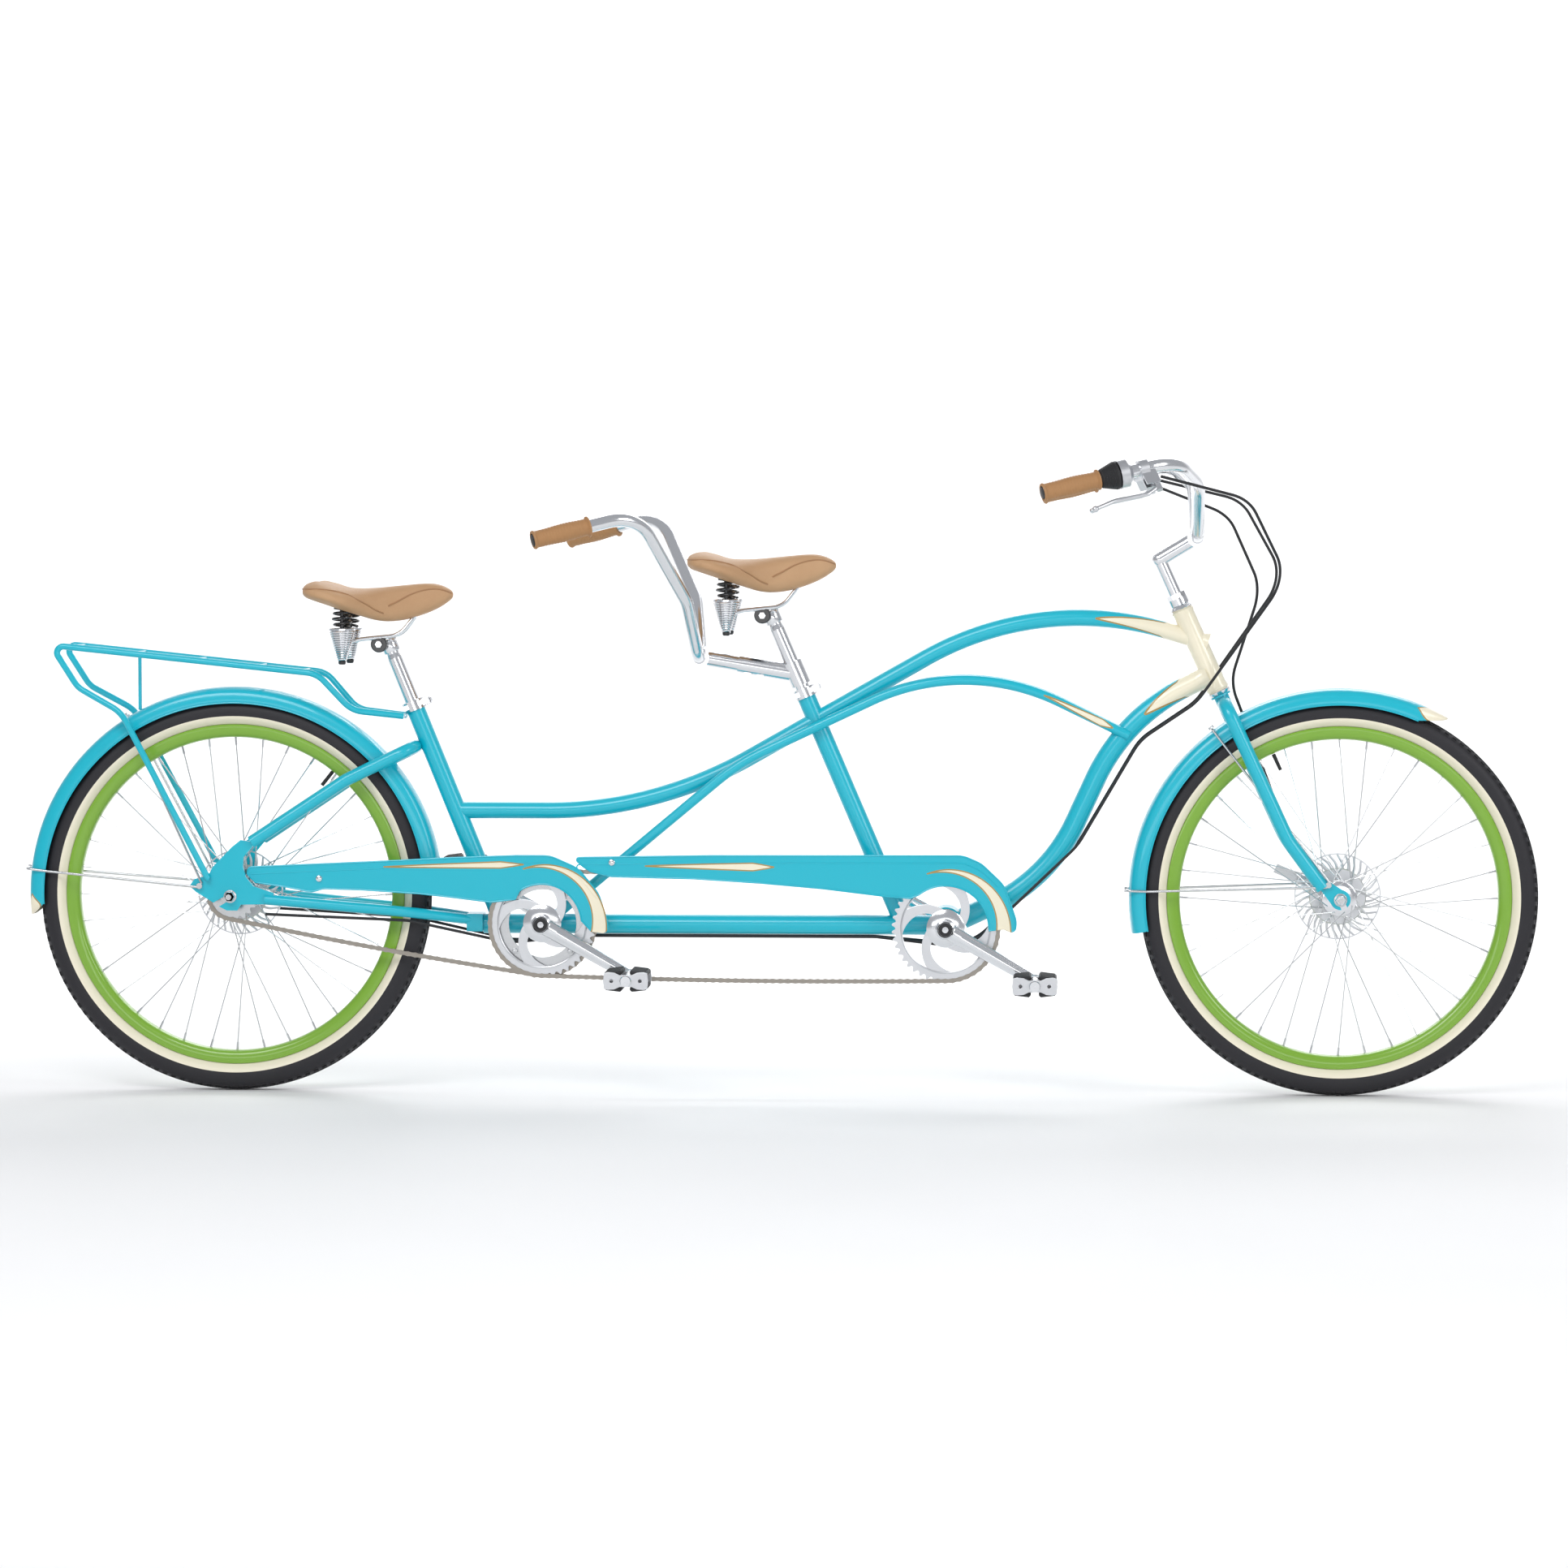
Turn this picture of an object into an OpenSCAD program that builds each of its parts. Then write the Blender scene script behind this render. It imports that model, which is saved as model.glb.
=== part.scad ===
// Tandem bicycle. X points forward, Y to the rider's left, Z up from the ground.
// Places along X are given from the rear axle and moved so that the middle of the length is X = 0.

/* [Overall] */
// Distance between the two axles
wheelbase = 1882; // [1500:1:2300]
// Outer radius of both tyres, which is also the height of the axles
wheel_r = 336.5; // [270:0.5:400]
// Width of the tyres
tyre_w = 54; // [40:1:70]
// Distance from the rear axle forward to the rear crank axle
stoker_bb_x = 531; // [430:1:640]
// Height of the rear crank axle
bb_z = 291; // [230:1:340]
// Number of timing chain links, an even number
timing_links = 152; // [120:2:180]

/* [Frame] */
// Radius of the curved top tube
top_tube_r = 14.3; // [12:0.1:19]
// Radius of the curved down tube
down_tube_r = 18; // [14:0.1:22]
// Radius of the long boom tube between the crank axles
boom_r = 16.7; // [13:0.1:22]
// Radius of each of the two side tubes
side_tube_r = 8.5; // [6:0.1:12]
// Outer radius of both seat tubes
seat_tube_r = 15.9; // [14.5:0.1:19]
// Wall of the frame tubes
wall = 1.4; // [0.9:0.1:2.5]
// Length of the head tube
head_len = 152.8; // [110:1:200]
// Outer radius of the head tube
head_r = 18; // [16.5:0.1:22]
// Lean of the head tube from the vertical, in degrees
head_lean = 24.35; // [15:0.05:30]
// Radius of the seat stays
seatstay_r = 11; // [7:0.1:13]
// Radius of the chain stays
chainstay_r = 9; // [6:0.1:11]
// Width inside the rear dropouts
rear_old = 130; // [110:1:145]

/* [Steering] */
// Radius of the steerer tube
steerer_r = 12.7; // [11:0.1:15]
// Distance of each fork leg's centre line from the middle
leg_y = 56; // [48:1:70]
// Radius of the fork legs
leg_r = 12; // [8:0.1:15]
// Radius of both handlebars
bar_r = 11.1; // [9:0.1:13]
// Half width of the front bar at its ends
bar_half = 330; // [250:1:380]
// Half width of the rear bar at its ends
stoker_bar_half = 320; // [240:1:360]
// Length of the grips
grip_len = 100; // [80:1:120]
// Outer radius of the grips
grip_r = 15; // [13:0.1:18]

// Gap between the shifter's housing and the brake lever clamps
lever_gap = 24; // [4:1:30]

/* [Drivetrain] */
// Teeth on the timing rings and the drive ring, a multiple of four
ring_teeth = 44; // [32:4:52]
// Teeth on the rear sprocket
sprocket_teeth = 20; // [14:1:26]
// Distance between chain pins
chain_pitch = 12.7; // [12.7:0.1:12.7]
// Length of the crank arms, from axle to pedal
crank_len = 175; // [140:1:185]
// Angle of the right crank arms below level
crank_down = 30; // [0:1:90]
// Length of each pedal along its spindle
pedal_len = 77; // [60:1:95]

/* [Seats] */
// Radius of both seat posts
post_r = 12.7; // [11:0.1:13.6]
// Height the captain's post stands out of its tube
captain_post_up = 150; // [110:1:220]
// Height the stoker's post stands out of its tube
stoker_post_up = 120; // [80:1:200]
// Length of both saddles
saddle_len = 259; // [220:1:300]
// Width of both saddles at the back
saddle_w = 225; // [180:1:270]

/* [Guards] */
// Width of both fenders
fender_w = 64; // [60:1:78]
// Radial gap between tyre and fender
fender_gap = 18; // [10:1:30]
// Radius of the rack's tubes
rack_r = 5.5; // [4:0.1:8]
// Half width of the rack's deck
rack_half = 55; // [40:1:80]

/* [Hidden] */
$fn = 40;
ax_z = wheel_r;
ring_r = chain_pitch/2/sin(180/ring_teeth);
spr_r = chain_pitch/2/sin(180/sprocket_teeth);
fender_r = wheel_r+fender_gap+1.5;
crank_gap = chain_pitch*(timing_links-ring_teeth)/2;
cap_x = stoker_bb_x+sqrt(crank_gap*crank_gap-36);
cap_z = bb_z-6;
mid_x = (wheelbase+wheel_r-fender_r)/2;
k = wheelbase/1882;
up = [-sin(head_lean), 0, cos(head_lean)];
fwd = [cos(head_lean), 0, sin(head_lean)];
rake = 41.5;
head_s = 403.7+(wheel_r-336.5);
head_lo = [wheelbase-rake*fwd[0]+head_s*up[0]-0, 0, ax_z-rake*fwd[2]+head_s*up[2]];
seat1_lo = [cap_x-72, 0, bb_z-4];
seat1_dir = [-0.394, 0, 0.919];
seat1_hi = seat1_lo+436*seat1_dir;
seat2_lo = [stoker_bb_x-72, 0, bb_z-4];
seat2_dir = [-0.377, 0, 0.926];
seat2_hi = seat2_lo+408*seat2_dir;
boom_z = bb_z-4;
drive_y = -44;
timing_y = -52;
guard_y = -61;
arm_y = 73;
drop_y = rear_old/2+3;
elbow = head_lo+(head_len+91)*up;
clamp1 = elbow+[63, 0, 38];
bar1_d = [clamp1[0]-42, -262, clamp1[2]+125];
bar1_e = [clamp1[0]-256, -bar_half, clamp1[2]+74];
sclamp = seat1_hi+30*seat1_dir;
clamp2 = sclamp+[-164.6, 0, 27.7];
bar2_d = [clamp2[0]-86, -256, clamp2[2]+242];
bar2_e = [clamp2[0]-248, -stoker_bar_half, clamp2[2]+201];
saddle1 = seat1_hi+(captain_post_up-12)*seat1_dir+[-14, 0, 0];
saddle2 = seat2_hi+(stoker_post_up-12)*seat2_dir+[-14, 0, 0];

cyan = [0.27, 0.77, 0.85];
cream = [0.97, 0.94, 0.85];
chrome = [0.78, 0.79, 0.8];
black = [0.06, 0.06, 0.07];
tan = [0.78, 0.56, 0.37];
lime = [0.5, 0.69, 0.18];

// ---- placing and tube helpers ----
function unit(v) = v/norm(v);

module part() { translate([-mid_x, 0, 0]) children(); }

module along(p, v) {
  translate(p) rotate([0, acos(v[2]/norm(v)), atan2(v[1], v[0])]) children();
}

module steer_at(p) { translate(head_lo) rotate([0, -head_lean, 0]) translate(p) children(); }

module ring2d(r, w) {
  difference() {
    circle(r);
    circle(r-w);
  }
}

// The bends' section is a hair thinner than the straights', which run a little way over them.
module bend2d(r, w) {
  if (w > 0) ring2d(r-0.03, w-0.06);
  else circle(r-0.03);
}

module straight(a, b, r, w) {
  along(a, b-a) linear_extrude(norm(b-a)) {
    if (w > 0) ring2d(r, w);
    else circle(r);
  }
}

module elbow_piece(a, p, b, bend, r, w) {
  u = unit(p-a);
  v = unit(b-p);
  turn = acos(min(1, max(-1, u*v)));
  t = bend*tan(turn/2);
  q = unit(v-u*(u*v));
  c = p-u*t+q*bend;
  z = cross(-q, u);
  multmatrix([[-q[0], u[0], z[0], c[0]], [-q[1], u[1], z[1], c[1]], [-q[2], u[2], z[2], c[2]]])
    rotate_extrude(angle = turn, $fn = 144) translate([bend, 0]) bend2d(r, w);
}

function cut_len(a, p, b, bend) = bend*tan(acos(min(1, max(-1, unit(p-a)*unit(b-p))))/2);

// A bent tube through the points, with a bend radius at each inner point; w = 0 is a solid rod.
module bent(pts, bends, r, w) {
  n = len(pts);
  for (i = [0:n-2]) {
    d = unit(pts[i+1]-pts[i]);
    t0 = i == 0 ? 0 : cut_len(pts[i-1], pts[i], pts[i+1], bends[i-1])-0.4;
    t1 = i == n-2 ? 0 : cut_len(pts[i], pts[i+1], pts[i+2], bends[i])-0.4;
    straight(pts[i]+d*t0, pts[i+1]-d*t1, r, w);
  }
  for (i = [1:n-2]) elbow_piece(pts[i-1], pts[i], pts[i+1], bends[i-1], r, w);
}

module rod_y(x, z, y0, y1, r) {
  translate([x, y0, z]) rotate([-90, 0, 0]) cylinder(h = y1-y0, r = r);
}

module pipe_y(x, z, y0, y1, r, ri) {
  translate([x, y0, z]) rotate([-90, 0, 0]) linear_extrude(y1-y0) ring2d(r, r-ri);
}

module plate_y(y, t, pts) {
  translate([0, y+t/2, 0]) rotate([90, 0, 0]) linear_extrude(t) polygon(pts);
}

// ---- frame ----
module head_tube() {
  color(cream) part() {
    steer_at([0, 0, 0]) difference() {
      union() {
        cylinder(h = head_len, r = head_r);
        translate([0, 0, -6.5]) cylinder(h = 6.5, r1 = head_r-0.5, r2 = head_r+2.5);
        translate([0, 0, head_len]) cylinder(h = 6.5, r1 = head_r+2.5, r2 = head_r-0.5);
      }
      translate([0, 0, -7]) cylinder(h = head_len+14, r = steerer_r+0.05);
      translate([0, 0, 14]) cylinder(h = head_len-28, r = head_r-1.6);
    }
  }
}

module head_cut() { steer_at([0, 0, -20]) cylinder(h = head_len+40, r = head_r); }

module boom_cut() { straight([stoker_bb_x-110, 0, boom_z], [cap_x, 0, boom_z], boom_r, 0); }

module top_tube() {
  x0 = seat2_hi[0]+78;
  z0 = bb_z+190;
  hz = head_lo[2]+85;
  color(cyan) part() difference() {
    bent([[x0-10, 0, z0], [stoker_bb_x+190, 0, z0], [head_lo[0]-301.5*k, 0, hz+80.5],
      [head_lo[0]-32, 0, hz]], [700*k, 525*k], top_tube_r, wall);
    head_cut();
    straight(seat2_lo, seat2_hi, seat_tube_r, 0);
    straight(seat1_lo, seat1_hi+30*seat1_dir, seat_tube_r, 0);
  }
}

module down_tube() {
  color(cyan) part() difference() {
    bent([head_lo+[-32, 0, 19.5], head_lo+[-159.7*k, 0, -45], [cap_x+174.7*k, 0, cap_z+82],
      [cap_x, 0, cap_z]], [330*k, 290*k], down_tube_r, wall+0.2);
    head_cut();
    rod_y(cap_x, bb_z, -60, 60, 29);
  }
}

module side_tube(s) {
  y = seat_tube_r+side_tube_r+3;
  color(cyan) part() difference() {
    bent([[stoker_bb_x+6, s*22, bb_z], [stoker_bb_x+332.5*k, s*y, bb_z+272.2],
      [cap_x+32.8*k, s*y, bb_z+454.4], head_lo+[-152*k, s*15, -76]], [400*k, 370*k],
      side_tube_r, wall);
    rod_y(stoker_bb_x, bb_z, -60, 60, 21);
    rod_y(cap_x, bb_z, -60, 60, 29);
    bent([head_lo+[-32, 0, 19.5], head_lo+[-159.7*k, 0, -45], [cap_x+174.7*k, 0, cap_z+82],
      [cap_x, 0, cap_z]], [330*k, 290*k], down_tube_r, 0);
  }
}

module side_tube_left() { side_tube(1); }

module side_tube_right() { side_tube(-1); }

module boom_tube() {
  color(cyan) part() {
    difference() {
      union() {
        straight([stoker_bb_x-105, 0, boom_z], [stoker_bb_x, 0, boom_z], boom_r, 0);
        rod_y(stoker_bb_x, bb_z, -34, 34, 21);
      }
      straight([stoker_bb_x-106, 0, boom_z], [stoker_bb_x, 0, boom_z], boom_r-wall, 0);
      rod_y(stoker_bb_x, bb_z, -35, 35, 17.5);
    }
    difference() {
      straight([stoker_bb_x, 0, boom_z], [cap_x, 0, boom_z], boom_r, wall);
      rod_y(stoker_bb_x, bb_z, -60, 60, 20.9);
      rod_y(cap_x, bb_z, -60, 60, 28.9);
    }
    pipe_y(cap_x, bb_z, -34, 34, 29, 26);
  }
}

module seat_tube(lo, hi) {
  color(cyan) part() difference() {
    straight(lo, hi, seat_tube_r, seat_tube_r-post_r-0.06);
    boom_cut();
  }
}

module captain_seat_tube() { seat_tube(seat1_lo, seat1_hi); }

module stoker_seat_tube() { seat_tube(seat2_lo, seat2_hi); }

module seat_stays() {
  bx = seat2_hi[0]+4.6;
  bz = seat2_hi[2]-75;
  yw = fender_w/2+seatstay_r+3;
  color(cyan) part() difference() {
    bent([[36, drop_y, ax_z+92], [195, yw+3, ax_z+197.5], [bx, yw, bz], [bx, -yw, bz],
      [195, -yw-3, ax_z+197.5], [36, -drop_y, ax_z+92]], [120, 32, 32, 120], seatstay_r, wall);
    straight(seat2_lo, seat2_hi, seat_tube_r, 0);
    for (s = [-1, 1]) translate([-60, s*drop_y-3, 300]) cube([120, 6, 135]);
  }
}

module chain_stays() {
  color(cyan) part() {
    difference() {
      for (s = [-1, 1]) {
        bent([[58, s*drop_y, ax_z-5], [300, s*(tyre_w/2+chainstay_r+7), ax_z-27.5],
          [stoker_bb_x-112, s*14, boom_z+6]], [150], chainstay_r, wall);
      }
      straight([stoker_bb_x-106, 0, boom_z], [stoker_bb_x, 0, boom_z], boom_r, 0);
      translate([stoker_bb_x-111, -6, boom_z-30]) cube([30, 12, 60]);
    }
    translate([stoker_bb_x-132, -26, boom_z-12]) cube([27.2, 52, 30]);
    for (s = [-1, 1]) difference() {
      plate_y(s*drop_y, 6, [[-70, ax_z+17.5], [-61, ax_z+29.5], [-37, ax_z+36], [-30, ax_z+50],
        [3, ax_z+84], [18, ax_z+96], [44, ax_z+92], [23, ax_z+67], [22, ax_z+51], [27, ax_z+33],
        [40, ax_z+17.5], [74, ax_z+6], [74, ax_z-13], [18, ax_z-14], [12, ax_z-24], [-6, ax_z-24],
        [-20, ax_z-17], [-38, ax_z-5], [-58, ax_z+7]]);
      rod_y(0, ax_z, s*drop_y-5, s*drop_y+5, 5.2);
      translate([0, s*drop_y-5, ax_z]) rotate([0, 150, 0]) translate([0, 0, -5.2]) cube([40, 10, 10.4]);
      rod_y(-37, ax_z+30.5, s*drop_y-5, s*drop_y+5, 3);
    }
  }
}

module bottom_bracket_parts() {
  color(chrome) part() {
    for (s = [-1, 1]) difference() {
      union() {
        rod_y(stoker_bb_x, bb_z, s > 0 ? 22 : -34, s > 0 ? 34 : -22, 17.5);
        rod_y(stoker_bb_x, bb_z, s > 0 ? 34 : -37, s > 0 ? 37 : -34, 19);
      }
      rod_y(stoker_bb_x, bb_z, -40, 40, 8.55);
    }
    difference() {
      union() {
        rod_y(cap_x, bb_z, -34, 34, 26);
        rod_y(cap_x, cap_z, -37, 37, 17);
      }
      rod_y(cap_x, cap_z, -40, 40, 8.55);
      rod_y(cap_x, cap_z, -22, 22, 13);
    }
  }
}

module collar(p, d) {
  along(p-14*d, d) difference() {
    union() {
      cylinder(h = 17, r = seat_tube_r+3);
      translate([-seat_tube_r-11, -8, 3]) cube([12, 16, 11]);
      translate([-seat_tube_r-7, -20, 8.5]) rotate([-90, 0, 0]) cylinder(h = 36, r = 2.5);
      translate([-seat_tube_r-7, -22, 8.5]) rotate([-90, 0, 0]) cylinder(h = 7, r = 8);
      translate([-seat_tube_r-12, 12, 5]) cube([46, 5, 8]);
    }
    translate([0, 0, -1]) cylinder(h = 15, r = seat_tube_r+0.02);
    translate([0, 0, 13]) cylinder(h = 6, r = post_r+0.06);
    translate([-seat_tube_r-12, -1.5, -1]) cube([14, 3, 20]);
  }
}

module seat_collars() {
  color(chrome) part() {
    collar(seat1_hi, seat1_dir);
    collar(seat2_hi, seat2_dir);
  }
}

module fender_shell(a0, a1) {
  h = fender_w/2;
  r = fender_r;
  rotate([90, 0, 0]) rotate([0, 0, a0]) rotate_extrude(angle = a1-a0, $fn = 120)
    polygon([[r-28, -h], [r-11, -h+2], [r-3, -h+11], [r, 0], [r-3, h-11], [r-11, h-2], [r-28, h],
      [r-28, h-1.4], [r-11.4, h-3.4], [r-4.2, h-11.7], [r-1.4, 0], [r-4.2, -h+11.7],
      [r-11.4, -h+3.4], [r-28, -h+1.4]]);
}

module rear_fender() {
  color(cyan) part() {
    translate([0, 0, ax_z]) fender_shell(10, 186);
    straight([-fender_r*cos(70)*0+fender_r*0.62, 0, ax_z+fender_r*0.785-1],
      [seat2_hi[0]+2, 0, seat2_hi[2]-88], 4, 0);
  }
}

module stay_u(ang, ex, ez, ey, cx) {
  h = fender_w/2+2;
  r = fender_r+3.4;
  c = [cx+r*cos(ang), 0, ax_z+r*sin(ang)];
  q = [cx+(r-34)*cos(ang), 0, ax_z+(r-34)*sin(ang)];
  bent([[ex, ey, ez], q+[0, h, 0], c+[0, h, 0], c-[0, h, 0], q-[0, h, 0], [ex, -ey, ez]],
    [20, 8, 8, 20], 2.2, 0);
  along(c-[cos(ang), 0, sin(ang)], [cos(ang), 0, sin(ang)]) cylinder(h = 4.5, r = 5);
}

module rear_fender_stays() {
  color(chrome) part() {
    stay_u(122, -48, ax_z+22, drop_y+6, 0);
    stay_u(173, -56, ax_z+16, drop_y+6, 0);
    for (s = [-1, 1]) rod_y(-52, ax_z+18, s*(drop_y+6)-4, s*(drop_y+6)+4, 5);
  }
}

module rack() {
  z = ax_z+380;
  color(cyan) part() {
    for (s = [-1, 1]) {
      bent([[-37, s*(drop_y+9), ax_z+30.5], [-186, s*(rack_half+11), ax_z+313],
        [-262, s*rack_half, ax_z+355], [-308, s*rack_half, z+47], [148, s*rack_half, z-1],
        [205, s*(rack_half-16), z-64], [seat2_hi[0]-14, s*22, z-74]], [60, 40, 11, 44, 50],
        rack_r, 0);
      rod_y(-37, ax_z+30.5, s > 0 ? drop_y+3.3 : -drop_y-14, s > 0 ? drop_y+14 : -drop_y-3.3, 2.9);
    }
    for (x = [-270, -165, -60, 45, 120])
      rod_y(x, z+43.5-(x+270)*0.105, -rack_half, rack_half, 3.5);
    rod_y(seat2_hi[0]-18, z-74, -24, 24, 4);
    straight([-165, 0, z+32], [-165, 0, ax_z+fender_r*0.885], 3, 0);
  }
}

module rear_chainguard() {
  x = stoker_bb_x;
  color(cyan) part() difference() {
    plate_y(guard_y, 1.6, [[x-501, bb_z+95], [x-263, bb_z+106], [x-153, bb_z+112], [x-43, bb_z+116],
      [x+5, bb_z+116], [x+60, bb_z+96], [x+97, bb_z+52], [x+110, bb_z+4], [x+110, bb_z-15],
      [x+85, bb_z-12], [x+62, bb_z+7], [x, bb_z+60], [x-50, bb_z+36], [x-87, bb_z+37],
      [x-153, bb_z+45], [x-208, bb_z+51], [x-305, bb_z+57], [x-373, bb_z+59], [x-392, bb_z+53],
      [x-439, bb_z+62], [x-489, bb_z+69], [x-503, bb_z+83]]);
    rod_y(x, bb_z, guard_y-5, guard_y+5, 66);
  }
  color(cyan) part() {
    rod_y(x-380, bb_z+76, guard_y-3, guard_y+2, 6);
    straight([x-380, guard_y+1, bb_z+76], [x-380, guard_y+13, bb_z+40], 3, 0);
  }
}

module front_chainguard() {
  x = cap_x;
  color(cyan) part() difference() {
    plate_y(guard_y, 1.6, [[x-632, bb_z+113], [x+30, bb_z+118], [x+56, bb_z+106], [x+98, bb_z+68],
      [x+119, bb_z+7], [x+116, bb_z-13], [x+98, bb_z-5], [x+66, bb_z-4], [x, bb_z+60],
      [x-46, bb_z+42], [x-108, bb_z+50], [x-208, bb_z+62], [x-313, bb_z+71], [x-427, bb_z+78],
      [x-566, bb_z+81], [x-603, bb_z+90]]);
    rod_y(x, cap_z, guard_y-5, guard_y+5, 70);
  }
  color(cyan) part() {
    rod_y(x-380, bb_z+99, guard_y-3, guard_y+2, 6);
    bent([[x-380, guard_y+1, bb_z+99], [x-380, -30, bb_z+99], [x-380, -boom_r+6, bb_z+5]], [12],
      3, 0);
  }
}

module long_cables() {
  p = head_lo;
  color(black) part() {
    for (s = [-1, 1]) {
      a = [bar1_e[0]+190, s*(bar_half-76), bar1_e[2]+26];
      bent([a, [p[0]+44, s*170, elbow[2]+101], [p[0]+112, s*60, p[2]+193],
        [p[0]-38, s*28, p[2]-19], [p[0]-133, s*26, p[2]-83], [cap_x+223, s*25, cap_z+140],
        [cap_x+40, s*37, cap_z-34], [cap_x-120, s*7, boom_z-boom_r-3.2],
        [stoker_bb_x+80, s*7, boom_z-boom_r-3.2], [stoker_bb_x-60, s*30, boom_z-28],
        [300, s*(tyre_w/2+chainstay_r+4), ax_z-42], [60, s*(drop_y+2), ax_z-30]],
        [90, 80, 90, 90, 120, 80, 60, 60, 100, 60], 2.5, 0);
    }
  }
}

module rear_axle() {
  color(chrome) part() {
    rod_y(0, ax_z, -drop_y-10, drop_y+10, 4.98);
    rod_y(0, ax_z, -drop_y-24, -drop_y-10, 4.76);
    rod_y(0, ax_z, drop_y+10, drop_y+24, 4.76);
    for (s = [-1, 1]) {
      rod_y(0, ax_z, s > 0 ? drop_y+3 : -drop_y-5, s > 0 ? drop_y+5 : -drop_y-3, 11);
      translate([0, s > 0 ? drop_y+5 : -drop_y-5, ax_z]) rotate([s > 0 ? -90 : 90, 0, 0])
        cylinder(h = 9, r = 8.6, $fn = 6);
    }
    pipe_y(0, ax_z, drop_y-8, drop_y-3, 30, 4.9);
    translate([0, drop_y-6, ax_z]) rotate([0, 90+6, 0]) translate([-9, 0, 22]) cube([18, 2.6, 120]);
  }
}

// ---- steering ----
module fork() {
  color(cyan) part() {
    steer_at([0, 0, 0]) {
      difference() {
        translate([0, 0, -24]) cylinder(h = head_len+44, r = steerer_r);
        translate([0, 0, -10]) cylinder(h = head_len+60, r = 11.15);
      }
      translate([0, 0, -10]) cylinder(h = 3, r = head_r-0.5);
      bent([[rake*0.55, leg_y, 30-head_s], [2, leg_y, 128-head_s], [0, leg_y, -24],
        [0, -leg_y, -24], [2, -leg_y, 128-head_s], [rake*0.55, -leg_y, 30-head_s]],
        [120, 30, 30, 120], leg_r, 1.8);
      for (s = [-1, 1]) {
        difference() {
          translate([rake, s*leg_y+3, -head_s]) rotate([90, 0, 0]) linear_extrude(6) union() {
            circle(17);
            polygon([[-17, 0], [-26, 40], [-10, 44], [17, 3]]);
          }
          translate([rake, s*leg_y+9, -head_s]) rotate([90, 0, 0]) cylinder(h = 18, r = 5.2);
          translate([rake-5.2, s*leg_y-9, -head_s-30]) cube([10.4, 18, 30]);
        }
      }
    }
  }
}

module front_stem() {
  color(chrome) part() {
    steer_at([0, 0, 0]) {
      difference() {
        union() {
          translate([0, 0, head_len+7]) cylinder(h = 12, r = head_r-1);
          translate([0, 0, head_len+19]) cylinder(h = 8, r = head_r-2, $fn = 6);
        }
        translate([0, 0, head_len]) cylinder(h = 21, r = steerer_r);
        translate([0, 0, head_len]) cylinder(h = 40, r = 11.05);
      }
      translate([0, 0, 60]) cylinder(h = head_len+31, r = 11.05);
    }
    straight(elbow, clamp1, 13, 0);
    translate(elbow) sphere(13);
    difference() {
      rod_y(clamp1[0], clamp1[2], -23, 23, 17);
      rod_y(clamp1[0], clamp1[2], -24, 24, bar_r);
      translate([clamp1[0]+5, -24, clamp1[2]-1]) cube([20, 48, 2]);
    }
  }
}

function mir(p, s) = [p[0], -s*p[1], p[2]];

module bar_shape(c, m, d, e) {
  bent([mir(e, 1), mir(d, 1), mir(m, 1), [c[0], 38, c[2]], [c[0], -38, c[2]], m, d, e],
    [75, 100, 50, 50, 100, 75], bar_r, 2);
}

module front_bar() {
  color(chrome) part() bar_shape(clamp1, [clamp1[0]-2, -150, clamp1[2]+88], bar1_d, bar1_e);
}

module on_grip(s, e, d, t) {
  a = mir(e, s);
  v = unit(mir(d, s)-a);
  along(a+v*t, v) children();
}

module grip(s, e, d) {
  on_grip(s, e, d, -6) difference() {
    union() {
      cylinder(h = grip_len, r = grip_r);
      cylinder(h = 5, r = grip_r+2);
      translate([0, 0, grip_len-4]) cylinder(h = 4, r = grip_r+2);
    }
    translate([0, 0, 5.9]) cylinder(h = grip_len, r = bar_r);
  }
}

module front_grips() {
  color(tan) part() for (s = [-1, 1]) grip(s, bar1_e, bar1_d);
}

module twist_grip() {
  color(black) part() on_grip(-1, bar1_e, bar1_d, grip_len-4) difference() {
    cylinder(h = 30, r1 = 16, r2 = 24);
    translate([0, 0, -1]) cylinder(h = 40, r = bar_r+0.06);
  }
}

module lever_turn(s) { rotate([0, 0, s > 0 ? 40 : -40]) children(); }

module lever_mounts() {
  color(chrome) part() for (s = [-1, 1]) {
    if (s < 0) on_grip(s, bar1_e, bar1_d, grip_len+27) difference() {
      union() {
        cylinder(h = 15, r = 24);
        translate([0, 0, 14.5]) cylinder(h = 8, r1 = 22, r2 = 15);
      }
      translate([0, 0, -1]) cylinder(h = 60, r = bar_r);
    }
    on_grip(s, bar1_e, bar1_d, grip_len+40+lever_gap) {
      difference() {
        union() {
          cylinder(h = 15, r = 15.5);
          lever_turn(s) translate([10, -7, 0.5]) cube([26, 14, 24]);
        }
        translate([0, 0, -1]) cylinder(h = 60, r = bar_r);
        lever_turn(s) translate([20, -4.2, -3]) cube([30, 8.4, 40]);
      }
      lever_turn(s) translate([29, -6, 17]) rotate([-90, 0, 0]) cylinder(h = 12, r = 2.5);
    }
  }
}

module brake_lever(s) {
  color(chrome) part() on_grip(s, bar1_e, bar1_d, grip_len+40+lever_gap) lever_turn(s) {
    difference() {
      union() {
        translate([29, -3.8, 17]) rotate([-90, 0, 0]) cylinder(h = 7.6, r = 6);
        translate([24, -3.8, 14]) cube([26, 7.6, 9]);
        bent([[42, 0, 18], [52, 0, -3], [50, 0, -62], [57, 0, -98]], [10, 40], 3.6, 0);
        translate([57, 0, -98]) sphere(5.5);
      }
      translate([29, -9, 17]) rotate([-90, 0, 0]) cylinder(h = 18, r = 2.56);
    }
  }
}

module brake_lever_left() { brake_lever(1); }

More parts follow.
